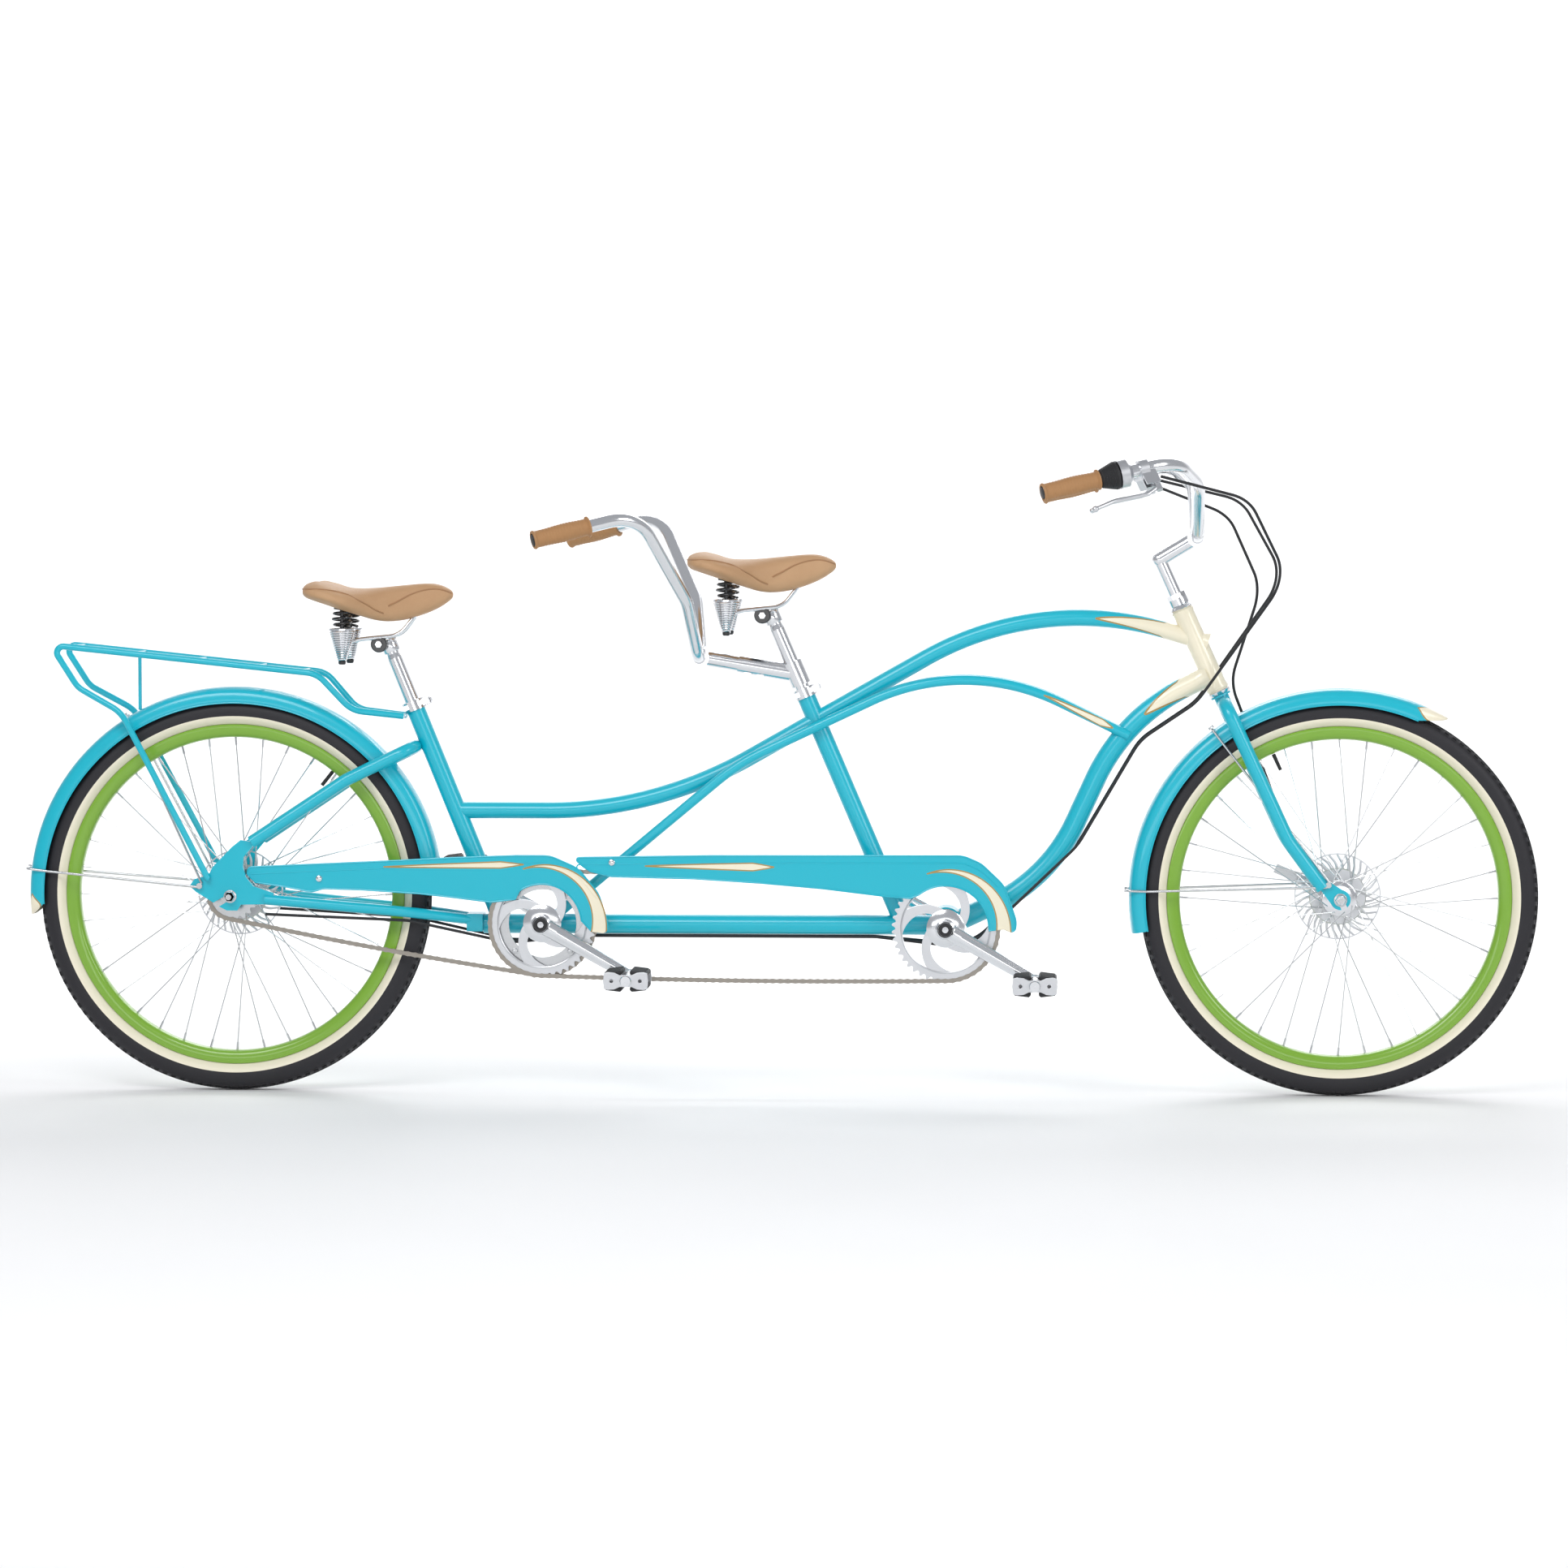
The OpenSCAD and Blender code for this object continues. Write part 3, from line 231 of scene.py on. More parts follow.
def uv_run_side(tree):
    """Distance along a tube, and how far round it from either flank: 0 on the flank, 1 at top and bottom."""
    uv = tree.nodes.new("ShaderNodeUVMap")
    sep = tree.nodes.new("ShaderNodeSeparateXYZ")
    join(tree, uv.outputs[0], sep.inputs[0])
    w = math_node(tree, "MULTIPLY", math_node(tree, "ABSOLUTE", math_node(tree, "SUBTRACT", sep.outputs[1],
                                                                          0.5)), 2.0)
    side = math_node(tree, "MULTIPLY", math_node(tree, "MINIMUM", w, math_node(tree, "SUBTRACT", 1.0, w)), 2.0)
    return sep.outputs[0], side


def flamed(name, start, length, width, opened=0.0, backward=False, line=0.06):
    """Cyan enamel with one cream tongue on each flank of a tube, its root at start metres along."""
    m, t, b = new_material(name)
    run, side = uv_run_side(t)
    run = math_node(t, "SUBTRACT", start, run) if backward else math_node(t, "SUBTRACT", run, start)
    cream, gold = add_flame(t, run, side, length, width, opened, line)
    join(t, blend_colour(t, gold, blend_colour(t, cream, CYAN, CREAM), GOLD), b.inputs["Base Color"])
    b.inputs["Coat Weight"].default_value = 0.4
    b.inputs["Coat Roughness"].default_value = 0.05
    add_grain(t, b, 25, 0.05, 0.3)
    return m


# ---------------------------------------------------------------- frame tubes
# Bent steel tubes, brazed at the joints with smooth fillets and enamelled. Each tube is swept along
# its bent centre line, and keeps its length and its angle as a UV map for the painted flames.


def smooth_path(points, bends, step=0.006):
    """The centre line through points, rounded at each inner point by its bend radius."""
    out = [Vector(points[0])]
    for i in range(1, len(points) - 1):
        a, p, b = Vector(points[i - 1]), Vector(points[i]), Vector(points[i + 1])
        u, v = (p - a).normalized(), (b - p).normalized()
        turn = u.angle(v)
        if turn < 1e-4:
            out.append(p)
            continue
        r = bends[i - 1]
        q = (v - u * u.dot(v)).normalized()
        centre = p - u * r * math.tan(turn / 2) + q * r
        n = max(4, int(turn * r / step), int(turn / 0.12))
        for k in range(n + 1):
            t = turn * k / n
            out.append(centre + (-q * math.cos(t) + u * math.sin(t)) * r)
    out.append(Vector(points[-1]))
    dense = [out[0]]
    for p in out[1:]:
        gap = (p - dense[-1]).length
        if gap < 1e-6:
            continue
        start, n = dense[-1].copy(), max(1, int(gap / 0.02))
        dense += [start.lerp(p, (k + 1) / n) for k in range(n)]
    return dense


def add_object(name, mesh, body, material=None, replaces=(), angle=35):
    ob = bpy.data.objects.new(name.replace(" ", "_"), mesh)
    bpy.context.scene.collection.objects.link(ob)
    if material is not None:
        mesh.materials.clear()
        mesh.materials.append(material)
    mesh.shade_smooth()
    mesh.set_sharp_from_angle(angle=math.radians(angle))
    if body:
        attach(ob, body)
    if replaces:
        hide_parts(*replaces)
    return ob


def sweep(path, radius, sides=32, side_axis=Vector((0, 1, 0)), closed=False, flat=1.0):
    """A tube along path. radius is a number or a function of the share of the length; flat squashes it sideways."""
    mesh = bpy.data.meshes.new("tube")
    bm = bmesh.new()
    layer = bm.loops.layers.uv.new("UVMap")
    run = [0.0]
    for a, b in zip(path, path[1:]):
        run.append(run[-1] + (b - a).length)
    across = Vector(side_axis)
    rings = []
    for i, p in enumerate(path):
        tangent = (path[min(i + 1, len(path) - 1)] - path[max(i - 1, 0)]).normalized()
        across = (across - tangent * across.dot(tangent)).normalized()
        up = tangent.cross(across)
        r = radius(run[i] / run[-1]) if callable(radius) else radius
        rings.append([bm.verts.new(p + (across * math.cos(2 * math.pi * k / sides) * flat +
                                        up * math.sin(2 * math.pi * k / sides)) * r) for k in range(sides)])
    for i in range(len(rings) - 1):
        for k in range(sides):
            n = (k + 1) % sides
            f = bm.faces.new((rings[i][k], rings[i][n], rings[i + 1][n], rings[i + 1][k]))
            for loop, (u, v) in zip(f.loops, ((run[i], k), (run[i], k + 1), (run[i + 1], k + 1), (run[i + 1], k))):
                loop[layer].uv = (u, v / sides)
    if not closed:
        bm.faces.new(rings[0][::-1])
        bm.faces.new(rings[-1])
    bmesh.ops.recalc_face_normals(bm, faces=bm.faces)
    bm.to_mesh(mesh)
    bm.free()
    return mesh


head_low = at(1.677742, 0, 0.687178)
steer_up = Vector((-math.sin(math.radians(24.35)), 0, math.cos(math.radians(24.35))))
BB2, BB1 = at(0.531, 0, 0.291), at(1.216774, 0, 0.285)
seat1_dir, seat2_dir = Vector((-0.394, 0, 0.919)), Vector((-0.377, 0, 0.926))
seat1_top, seat2_top = at(0.97299, 0, 0.687684), at(0.305184, 0, 0.664808)

top_path = smooth_path([at(0.373, 0, 0.481), at(0.721, 0, 0.481), head_low + Vector((-0.3015, 0, 0.1655)),
                        head_low + Vector((-0.024, 0, 0.0826))], [0.7, 0.525])
top_len = sum((b - a).length for a, b in zip(top_path, top_path[1:]))
add_object("top tube", sweep(top_path, 0.0143), "frame",
           flamed("enamel, top tube flame", top_len - 0.075, 0.115, 0.62, 1.0, True), ["top_tube"])
down_path = smooth_path([head_low + Vector((-0.024, 0, 0.0225)), head_low + Vector((-0.1597, 0, -0.045)),
                         at(1.391474, 0, 0.367), at(1.245, 0, 0.2985)], [0.33, 0.29])
add_object("down tube", sweep(down_path, 0.018), "frame",
           flamed("enamel, down tube flame", 0.045, 0.075, 0.6, 1.0), ["down_tube"])
for side, word in ((1, "left"), (-1, "right")):
    y = side * 0.0274
    path = smooth_path([at(0.537, side * 0.022, 0.291), at(0.8635, y, 0.5632), at(1.2496, y, 0.7454),
                        head_low + Vector((-0.152, side * 0.015, -0.076))], [0.4, 0.37])
    length = sum((b - a).length for a, b in zip(path, path[1:]))
    add_object(f"side tube {word}", sweep(path, 0.0085, 24), "frame",
               flamed(f"enamel, {word} side tube flame", length - 0.03, 0.13, 0.55, 0.0, True, 0.09),
               [f"side_tube_{word}"])
cream_paint = plain("cream enamel", CREAM, 0.3, 0.0, 0.9, 25, 0.05)


def lathe(profile, origin, axis, segments=64, arc=(0, 360)):
    """Turns (radius, height) pairs about axis through origin. A profile whose ends meet stays closed."""
    mesh = bpy.data.meshes.new("turned")
    bm = bmesh.new()
    layer = bm.loops.layers.uv.new("UVMap")
    z = Vector(axis).normalized()
    x = (Vector((1, 0, 0)) if abs(z.x) < 0.8 else Vector((0, 0, 1)))
    x = (x - z * x.dot(z)).normalized()
    y = z.cross(x)
    full = abs(arc[1] - arc[0]) >= 359.9
    count = segments if full else segments + 1
    rings = []
    for k in range(count):
        a = math.radians(arc[0] + (arc[1] - arc[0]) * k / segments)
        d = x * math.cos(a) + y * math.sin(a)
        rings.append([bm.verts.new(Vector(origin) + d * r + z * h) for r, h in profile])
    for k in range(segments):
        n = (k + 1) % count
        for i in range(len(profile) - 1):
            f = bm.faces.new((rings[k][i], rings[n][i], rings[n][i + 1], rings[k][i + 1]))
            for loop, uv in zip(f.loops, ((k, i), (k + 1, i), (k + 1, i + 1), (k, i + 1))):
                loop[layer].uv = (uv[0] / segments, uv[1] / (len(profile) - 1))
    bmesh.ops.remove_doubles(bm, verts=bm.verts, dist=1e-6)
    bmesh.ops.recalc_face_normals(bm, faces=bm.faces)
    bm.to_mesh(mesh)
    bm.free()
    return mesh


def rounded(profile_r, h0, h1, edge=0.0015, inner=0.0):
    """A solid disc or sleeve section with softened rims, for lathe()."""
    r = profile_r
    return [(inner, h0), (r - edge, h0), (r - edge * 0.3, h0 + edge * 0.3), (r, h0 + edge), (r, h1 - edge),
            (r - edge * 0.3, h1 - edge * 0.3), (r - edge, h1), (inner, h1)]


add_object("head tube", lathe([(0.01275, 0.006), (0.0172, 0.0), (0.018, 0.002), (0.0195, 0.004), (0.018, 0.012),
                               (0.018, 0.141), (0.0195, 0.149), (0.018, 0.151), (0.0172, 0.1528), (0.01275, 0.147)],
                              head_low, steer_up), "frame", cream_paint, ["head_tube"])
for name, h0, h1, r0, r1 in (("lower headset cup", -0.0065, 0, 0.0175, 0.0205),
                             ("upper headset cup", 0.1528, 0.1593, 0.0205, 0.0175)):
    add_object(name, lathe([(0.01275, h0), (r0, h0), (r0 + 0.001, h0 + 0.001), (r1, h1 - 0.001),
                            (r1 - 0.001, h1), (0.01275, h1), (0.01275, h0)], head_low, steer_up), "frame", polished)
for where, direction, r, paint, name in (
        (top_path[-1], top_path[-1] - top_path[-3], 0.0143, cream_paint, "top tube fillet"),
        (down_path[0], down_path[0] - down_path[2], 0.018, cream_paint, "down tube fillet")):
    d = direction.normalized()
    add_object(name, sweep([where + d * t for t in (-0.014, -0.008, -0.003, 0.001, 0.006)],
                           lambda s, r=r: r + 0.00015 + 0.0042 * s ** 2.2), "frame", paint)

# ---------------------------------------------------------------- painted steel kept from the frame
# Seat tubes, boom, stays, dropouts and rack: straight and bent tube that needs only its enamel, and
# the alloy posts, stems and bars that need only their polish.


def dress(material, *names, angle=40):
    for n in names:
        ob = NODE[n]
        for s in range(max(1, len(ob.data.materials))):
            if s < len(ob.data.materials):
                ob.data.materials[s] = material
            else:
                ob.data.materials.append(material)
        ob.data.shade_smooth()
        ob.data.set_sharp_from_angle(angle=math.radians(angle))


dress(cyan_paint, "boom_tube", "captain_seat_tube", "stoker_seat_tube", "seat_stays", "chain_stays", "rack")
dress(polished, "front_stem", "front_bar", "stoker_stem", "stoker_bar", "captain_post", "stoker_post",
      "seat_collars")
dress(steel, "rear_fender_stays", "front_fender_stays", "rear_axle", "front_axle", "bottom_bracket_parts")
dress(satin, "lever_mounts", "brake_lever_left", "brake_lever_right")
dress(black_rubber, "long_cables", "front_brake_cable")

# ---------------------------------------------------------------- wheels
# 26-inch cruiser wheels: black tyre with a cream sidewall band and fine shoulder blocks, box rim in
# lime enamel, 36 crossed steel spokes with nipples, and a polished hub with a finned brake disc.


def ring_tree():
    """Geometry nodes that repeat one piece round the Y axis: Count copies, Turn apart, from Start."""
    g = bpy.data.node_groups.new("Repeat round an axle", "GeometryNodeTree")
    for n, kind in (("Geometry", "NodeSocketGeometry"), ("Count", "NodeSocketInt"), ("Turn", "NodeSocketFloat"),
                    ("Start", "NodeSocketFloat"), ("Finish", "NodeSocketMaterial")):
        g.interface.new_socket(n, in_out="INPUT", socket_type=kind)
    g.interface.new_socket("Geometry", in_out="OUTPUT", socket_type="NodeSocketGeometry")
    a, z = g.nodes.new("NodeGroupInput"), g.nodes.new("NodeGroupOutput")
    line = g.nodes.new("GeometryNodeMeshLine")
    line.inputs["Offset"].default_value = (0, 0, 0)
    index = g.nodes.new("GeometryNodeInputIndex")
    turn = g.nodes.new("ShaderNodeMath")
    turn.operation = "MULTIPLY_ADD"
    spin = g.nodes.new("ShaderNodeCombineXYZ")
    put = g.nodes.new("GeometryNodeInstanceOnPoints")
    real = g.nodes.new("GeometryNodeRealizeInstances")
    finish = g.nodes.new("GeometryNodeSetMaterial")
    for s, d in ((a.outputs["Count"], line.inputs["Count"]), (index.outputs[0], turn.inputs[0]),
                 (a.outputs["Turn"], turn.inputs[1]), (a.outputs["Start"], turn.inputs[2]),
                 (turn.outputs[0], spin.inputs[1]), (line.outputs[0], put.inputs["Points"]),
                 (a.outputs["Geometry"], put.inputs["Instance"]), (spin.outputs[0], put.inputs["Rotation"]),
                 (put.outputs[0], real.inputs[0]), (real.outputs[0], finish.inputs["Geometry"]),
                 (a.outputs["Finish"], finish.inputs["Material"]), (finish.outputs[0], z.inputs[0])):
        g.links.new(s, d)
    return g


RING = ring_tree()


def with_nodes(mesh, tree, values):
    """The plain mesh that a node tree makes from mesh."""
    ob = bpy.data.objects.new("making", mesh)
    bpy.context.scene.collection.objects.link(ob)
    mod = ob.modifiers.new("nodes", "NODES")
    mod.node_group = tree
    for item in tree.interface.items_tree:
        if item.item_type == "SOCKET" and item.in_out == "INPUT" and item.name in values:
            mod[item.identifier] = values[item.name]
    bpy.context.view_layer.update()
    made = bpy.data.meshes.new_from_object(ob.evaluated_get(bpy.context.evaluated_depsgraph_get()))
    ob.modifiers.remove(mod)
    bpy.data.objects.remove(ob)
    return made


def around(mesh, count, centre, material, start=0.0, turn=None):
    """Count copies of mesh, which is drawn about the origin, round the Y axis through centre."""
    step = 2 * math.pi / count if turn is None else turn
    made = with_nodes(mesh, RING, {"Count": count, "Turn": step, "Start": start, "Finish": material})
    made.transform(Matrix.Translation(Vector(centre)))
    return made


def merged(*meshes):
    """One mesh of several, each keeping its own materials."""
    bm, slots = bmesh.new(), []
    for m in meshes:
        start = len(bm.faces)
        bm.from_mesh(m)
        bm.faces.ensure_lookup_table()
        for f in bm.faces[start:]:
            want = m.materials[f.material_index] if m.materials else None
            if want not in slots:
                slots.append(want)
            f.material_index = slots.index(want)
    out = bpy.data.meshes.new("joined")
    bm.to_mesh(out)
    bm.free()
    for m in slots:
        out.materials.append(m)
    return out


def painted(mesh, material):
    mesh.materials.clear()
    mesh.materials.append(material)
    return mesh


def block(size, centre=(0, 0, 0), bevel=0.0, turn=None):
    bm = bmesh.new()
    bmesh.ops.create_cube(bm, size=1)
    bmesh.ops.scale(bm, vec=size, verts=bm.verts)
    if bevel:
        bmesh.ops.bevel(bm, geom=bm.edges[:], offset=bevel, segments=2, affect="EDGES", profile=0.5)
    if turn is not None:
        bmesh.ops.transform(bm, matrix=turn, verts=bm.verts)
    bmesh.ops.translate(bm, vec=centre, verts=bm.verts)
    mesh = bpy.data.meshes.new("block")
    bm.to_mesh(mesh)
    bm.free()
    return mesh


Y = Vector((0, 1, 0))


def plate(points, y, thick, bevel=0.0004, holes=(), windows=()):
    """A flat plate cut to points (x, z), across the middle plane y, with softened edges, holes and windows."""
    curve = bpy.data.curves.new("cut", "CURVE")
    curve.dimensions, curve.fill_mode = "2D", "BOTH"
    curve.extrude, curve.bevel_depth, curve.bevel_resolution = thick / 2 - bevel, bevel, 1
    rings = [points] + [[(cx + r * math.cos(2 * math.pi * k / 40), cz + r * math.sin(2 * math.pi * k / 40))
                         for k in range(40)] for cx, cz, r in holes] + [list(w) for w in windows]
    for ring in rings:
        s = curve.splines.new("POLY")
        s.points.add(len(ring) - 1)
        for p, (x, z) in zip(s.points, ring):
            p.co = (x, z, 0, 1)
        s.use_cyclic_u = True
    ob = bpy.data.objects.new("cut", curve)
    bpy.context.scene.collection.objects.link(ob)
    bpy.context.view_layer.update()
    mesh = bpy.data.meshes.new_from_object(ob.evaluated_get(bpy.context.evaluated_depsgraph_get()))
    bpy.data.objects.remove(ob)
    mesh.transform(Matrix.Translation((0, y, 0)) @ Matrix.Rotation(math.pi / 2, 4, "X"))
    return mesh


tyre_paint, tt, tb = new_material("whitewall tyre rubber")
t_uv = tt.nodes.new("ShaderNodeUVMap")
t_sep = tt.nodes.new("ShaderNodeSeparateXYZ")
join(tt, t_uv.outputs[0], t_sep.inputs[0])
t_edge = math_node(tt, "ABSOLUTE", math_node(tt, "SUBTRACT", t_sep.outputs[1], 0.5))
t_band = math_node(tt, "GREATER_THAN", t_edge, 0.372)
join(tt, blend_colour(tt, t_band, (0.013, 0.012, 0.016), (0.90, 0.84, 0.66)), tb.inputs["Base Color"])
add_grain(tt, tb, 420, 0.12, 0.55)

SECTION = [(0.2905, -0.013), (0.2945, -0.0185), (0.3005, -0.0245), (0.3065, -0.0266), (0.3125, -0.027),
           (0.3185, -0.0262), (0.324, -0.0242), (0.3285, -0.0208), (0.3315, -0.0166), (0.3338, -0.0112),
           (0.3352, -0.0055)]
section = SECTION + [(0.336, 0.0)] + [(r, -y) for r, y in SECTION[::-1]]


def fine(profile, cuts=2):
    """More points along a section, on a smooth curve through them."""
    out = []
    for i in range(len(profile) - 1):
        p = [Vector(profile[min(max(j, 0), len(profile) - 1)]) for j in (i - 1, i, i + 1, i + 2)]
        for k in range(cuts):
            t = k / cuts
            out.append(tuple(0.5 * (2 * p[1] + (p[2] - p[0]) * t + (2 * p[0] - 5 * p[1] + 4 * p[2] - p[3]) * t * t +
                                    (3 * p[1] - p[0] - 3 * p[2] + p[3]) * t ** 3)))
    return out + [profile[-1]]


rim_section = [(0.2685, -0.004), (0.2695, -0.0095), (0.273, -0.0145), (0.280, -0.0168), (0.2885, -0.0172),
               (0.2905, -0.0163), (0.2902, -0.0148), (0.279, -0.0138), (0.2745, -0.006), (0.2745, 0.006),
               (0.279, 0.0138), (0.2902, 0.0148), (0.2905, 0.0163), (0.2885, 0.0172), (0.280, 0.0168),
               (0.273, 0.0145), (0.2695, 0.0095), (0.2685, 0.004), (0.2685, -0.004)]


def hub_profile(left, right, flange):
    """Right to left along the axle: flange, waisted barrel, flange."""
    return [(0.0052, -right - 0.006), (0.013, -right - 0.006), (0.0145, -right - 0.003),
            (flange + 0.004, -right - 0.0017),
            (flange + 0.005, -right), (flange + 0.004, -right + 0.0017), (0.019,
                                                                          -right + 0.003), (0.0165, -right + 0.009),
            (0.0158, 0.0), (0.0165, left - 0.009), (0.019, left - 0.003), (flange + 0.004, left - 0.0017),
            (flange + 0.005, left), (flange + 0.004, left + 0.0017), (0.0145, left + 0.003), (0.0052, left + 0.003)]


for word, axle, left, right, flange, disc_y in (("front", at(1.882, 0, 0.3365), 0.024, 0.028, 0.024, 0.030),
                                                ("rear", at(0, 0, 0.3365), 0.029, 0.027, 0.026, 0.040)):
    body = f"{word}_wheel"
    block_mesh = merged(*[block((0.0085, 0.0045, 0.0022), (s * 0.0, s * 0.0155, 0.3322), 0.0005,
                                Matrix.Rotation(s * 0.5, 4, "X")) for s in (-1, 1)],
                        *[block((0.0062, 0.003, 0.0014), (0.0065, s * 0.0085, 0.3342), 0.0004,
                                Matrix.Rotation(s * 0.26, 4, "X")) for s in (-1, 1)],
                        *[block((0.009, 0.0025, 0.0018), (0.0, s * 0.0197, 0.3290), 0.0004,
                                Matrix.Rotation(s * 0.85, 4, "X")) for s in (-1, 1)])
    tread = around(block_mesh, 132, axle, black_rubber)
    ribs = [painted(lathe([(r, y - 0.0016), (r + 0.0006, y - 0.0012), (r + 0.0006, y + 0.0012), (r, y + 0.0016)],
                          axle, Y, 180), black_rubber) for r, y in ((0.3359, 0.0), (0.3353, 0.0048),
                                                                    (0.3353, -0.0048))]
    add_object(f"{word}_tyre_cover", merged(painted(lathe(fine(section), axle, Y, 192), tyre_paint), tread, *ribs),
               body, None, [f"{word}_tyre"])
    add_object(f"{word}_rim_hoop", painted(lathe(fine(rim_section, 2), axle, Y, 192), lime_paint), body, None,
               [f"{word}_rim"])
    pairs = []
    for s in (-1, 1):
        y = left if s > 0 else -right
        for k in (0, 1):
            side = 2 * k - 1
            a0 = (k * 20 + (0 if s > 0 else 10)) * math.pi / 180
            b0 = a0 + side * math.radians(62)
            p0 = Vector((flange * math.cos(b0), y + s * (0.0024 if k else -0.0024), flange * math.sin(b0)))
            p1 = Vector((0.2695 * math.cos(a0), s * 0.003, 0.2695 * math.sin(a0)))
            d = (p1 - p0).normalized()
            pairs.append(sweep([p0, p1], 0.0010, 8))
            pairs.append(sweep([p1 - d * 0.014, p1 - d * 0.013, p1 - d * 0.002, p1 + d * 0.001], 0.0019, 8))
            pairs.append(sweep([p0 + Y * (0.0034 if y > p0.y else -0.0034), p0], 0.0017, 8))
    add_object(f"{word}_spoke_set", around(merged(*pairs), 9, axle, steel, 0.0, 2 * math.pi / 9), body, None,
               [f"{word}_spokes"])
    fin = sweep(smooth_path([Vector((0.046, 0, 0)), Vector((0.058, 0, 0.004)), Vector((0.0715, 0, 0.016))], [0.02]),
                lambda t: 0.0026 - 0.0009 * t, 8, flat=0.75)
    fin.transform(Matrix.Translation((0, disc_y + 0.003, 0)))
    disc = painted(lathe([(0.0052, disc_y), (0.047, disc_y), (0.0485, disc_y + 0.0015), (0.0485, disc_y + 0.0045),
                          (0.047, disc_y + 0.006), (0.026, disc_y + 0.0062), (0.024,
                                                                              disc_y + 0.0085), (0.0052,
                                                                                                 disc_y + 0.0085)],
                         axle, Y, 96), satin)
    hoop = painted(lathe([(0.0712, disc_y + 0.001), (0.0735, disc_y + 0.001), (0.0735, disc_y + 0.005),
                          (0.0712, disc_y + 0.005), (0.0712, disc_y + 0.001)], axle, Y, 128), satin)
    barrel = painted(lathe(fine(hub_profile(left, right, flange), 2), axle, Y, 72), polished)
    sleeve = painted(lathe([(0.0052, left), (0.0175, left), (0.0175, disc_y), (0.0052, disc_y)], axle, Y, 48),
                     polished)
    add_object(f"{word}_hub_shell", merged(barrel, sleeve, disc, hoop, around(fin, 32, axle, satin)), body, None,
               [f"{word}_hub"], 30)
    for s in (-1, 1):
        out_y = (0.065 if word == "rear" else 0.053)
        nut = merged(painted(lathe(rounded(0.0108, 0.0, 0.002, 0.0005), axle + Y * s * (out_y + 0.0062), Y * s,
                                   40), steel),
                     painted(lathe([(0, 0.0), (0.0085, 0.0), (0.0092, 0.0008), (0.0092, 0.0068),
                                    (0.0082, 0.0088), (0, 0.0088)],
                                   axle + Y * s * (out_y + 0.0082), Y * s, 6), polished))
        add_object(f"{word}_axle_nut_{'left' if s > 0 else 'right'}", nut, "frame" if word == "rear" else "steering")
valve_stem = merged(*[painted(sweep([at(1.882 * f, 0, 0.3365) + Vector((0.2675 * math.cos(w), 0,
                                                                        0.2675 * math.sin(w))),
                                     at(1.882 * f, 0, 0.3365) + Vector((0.238 * math.cos(w), 0,
                                                                        0.238 * math.sin(w)))],
                                    lambda s: 0.0034 if s < 0.4 else 0.0028, 12), black_rubber) for f, w in ((1,
                                                                                                              2.0),)])
add_object("front_valve", valve_stem, "front_wheel")
rear_valve = sweep([at(0, 0, 0.3365) + Vector((0.2675 * math.cos(0.9), 0, 0.2675 * math.sin(0.9))),
                    at(0, 0, 0.3365) + Vector((0.238 * math.cos(0.9), 0, 0.238 * math.sin(0.9)))], 0.0032, 12)
add_object("rear_valve", rear_valve, "rear_wheel", black_rubber)

# ---------------------------------------------------------------- fenders
# Rolled steel mudguards with a soft crowned section and a wired edge, enamelled cyan. The front tip and
# the rear tail run out to a cream point.


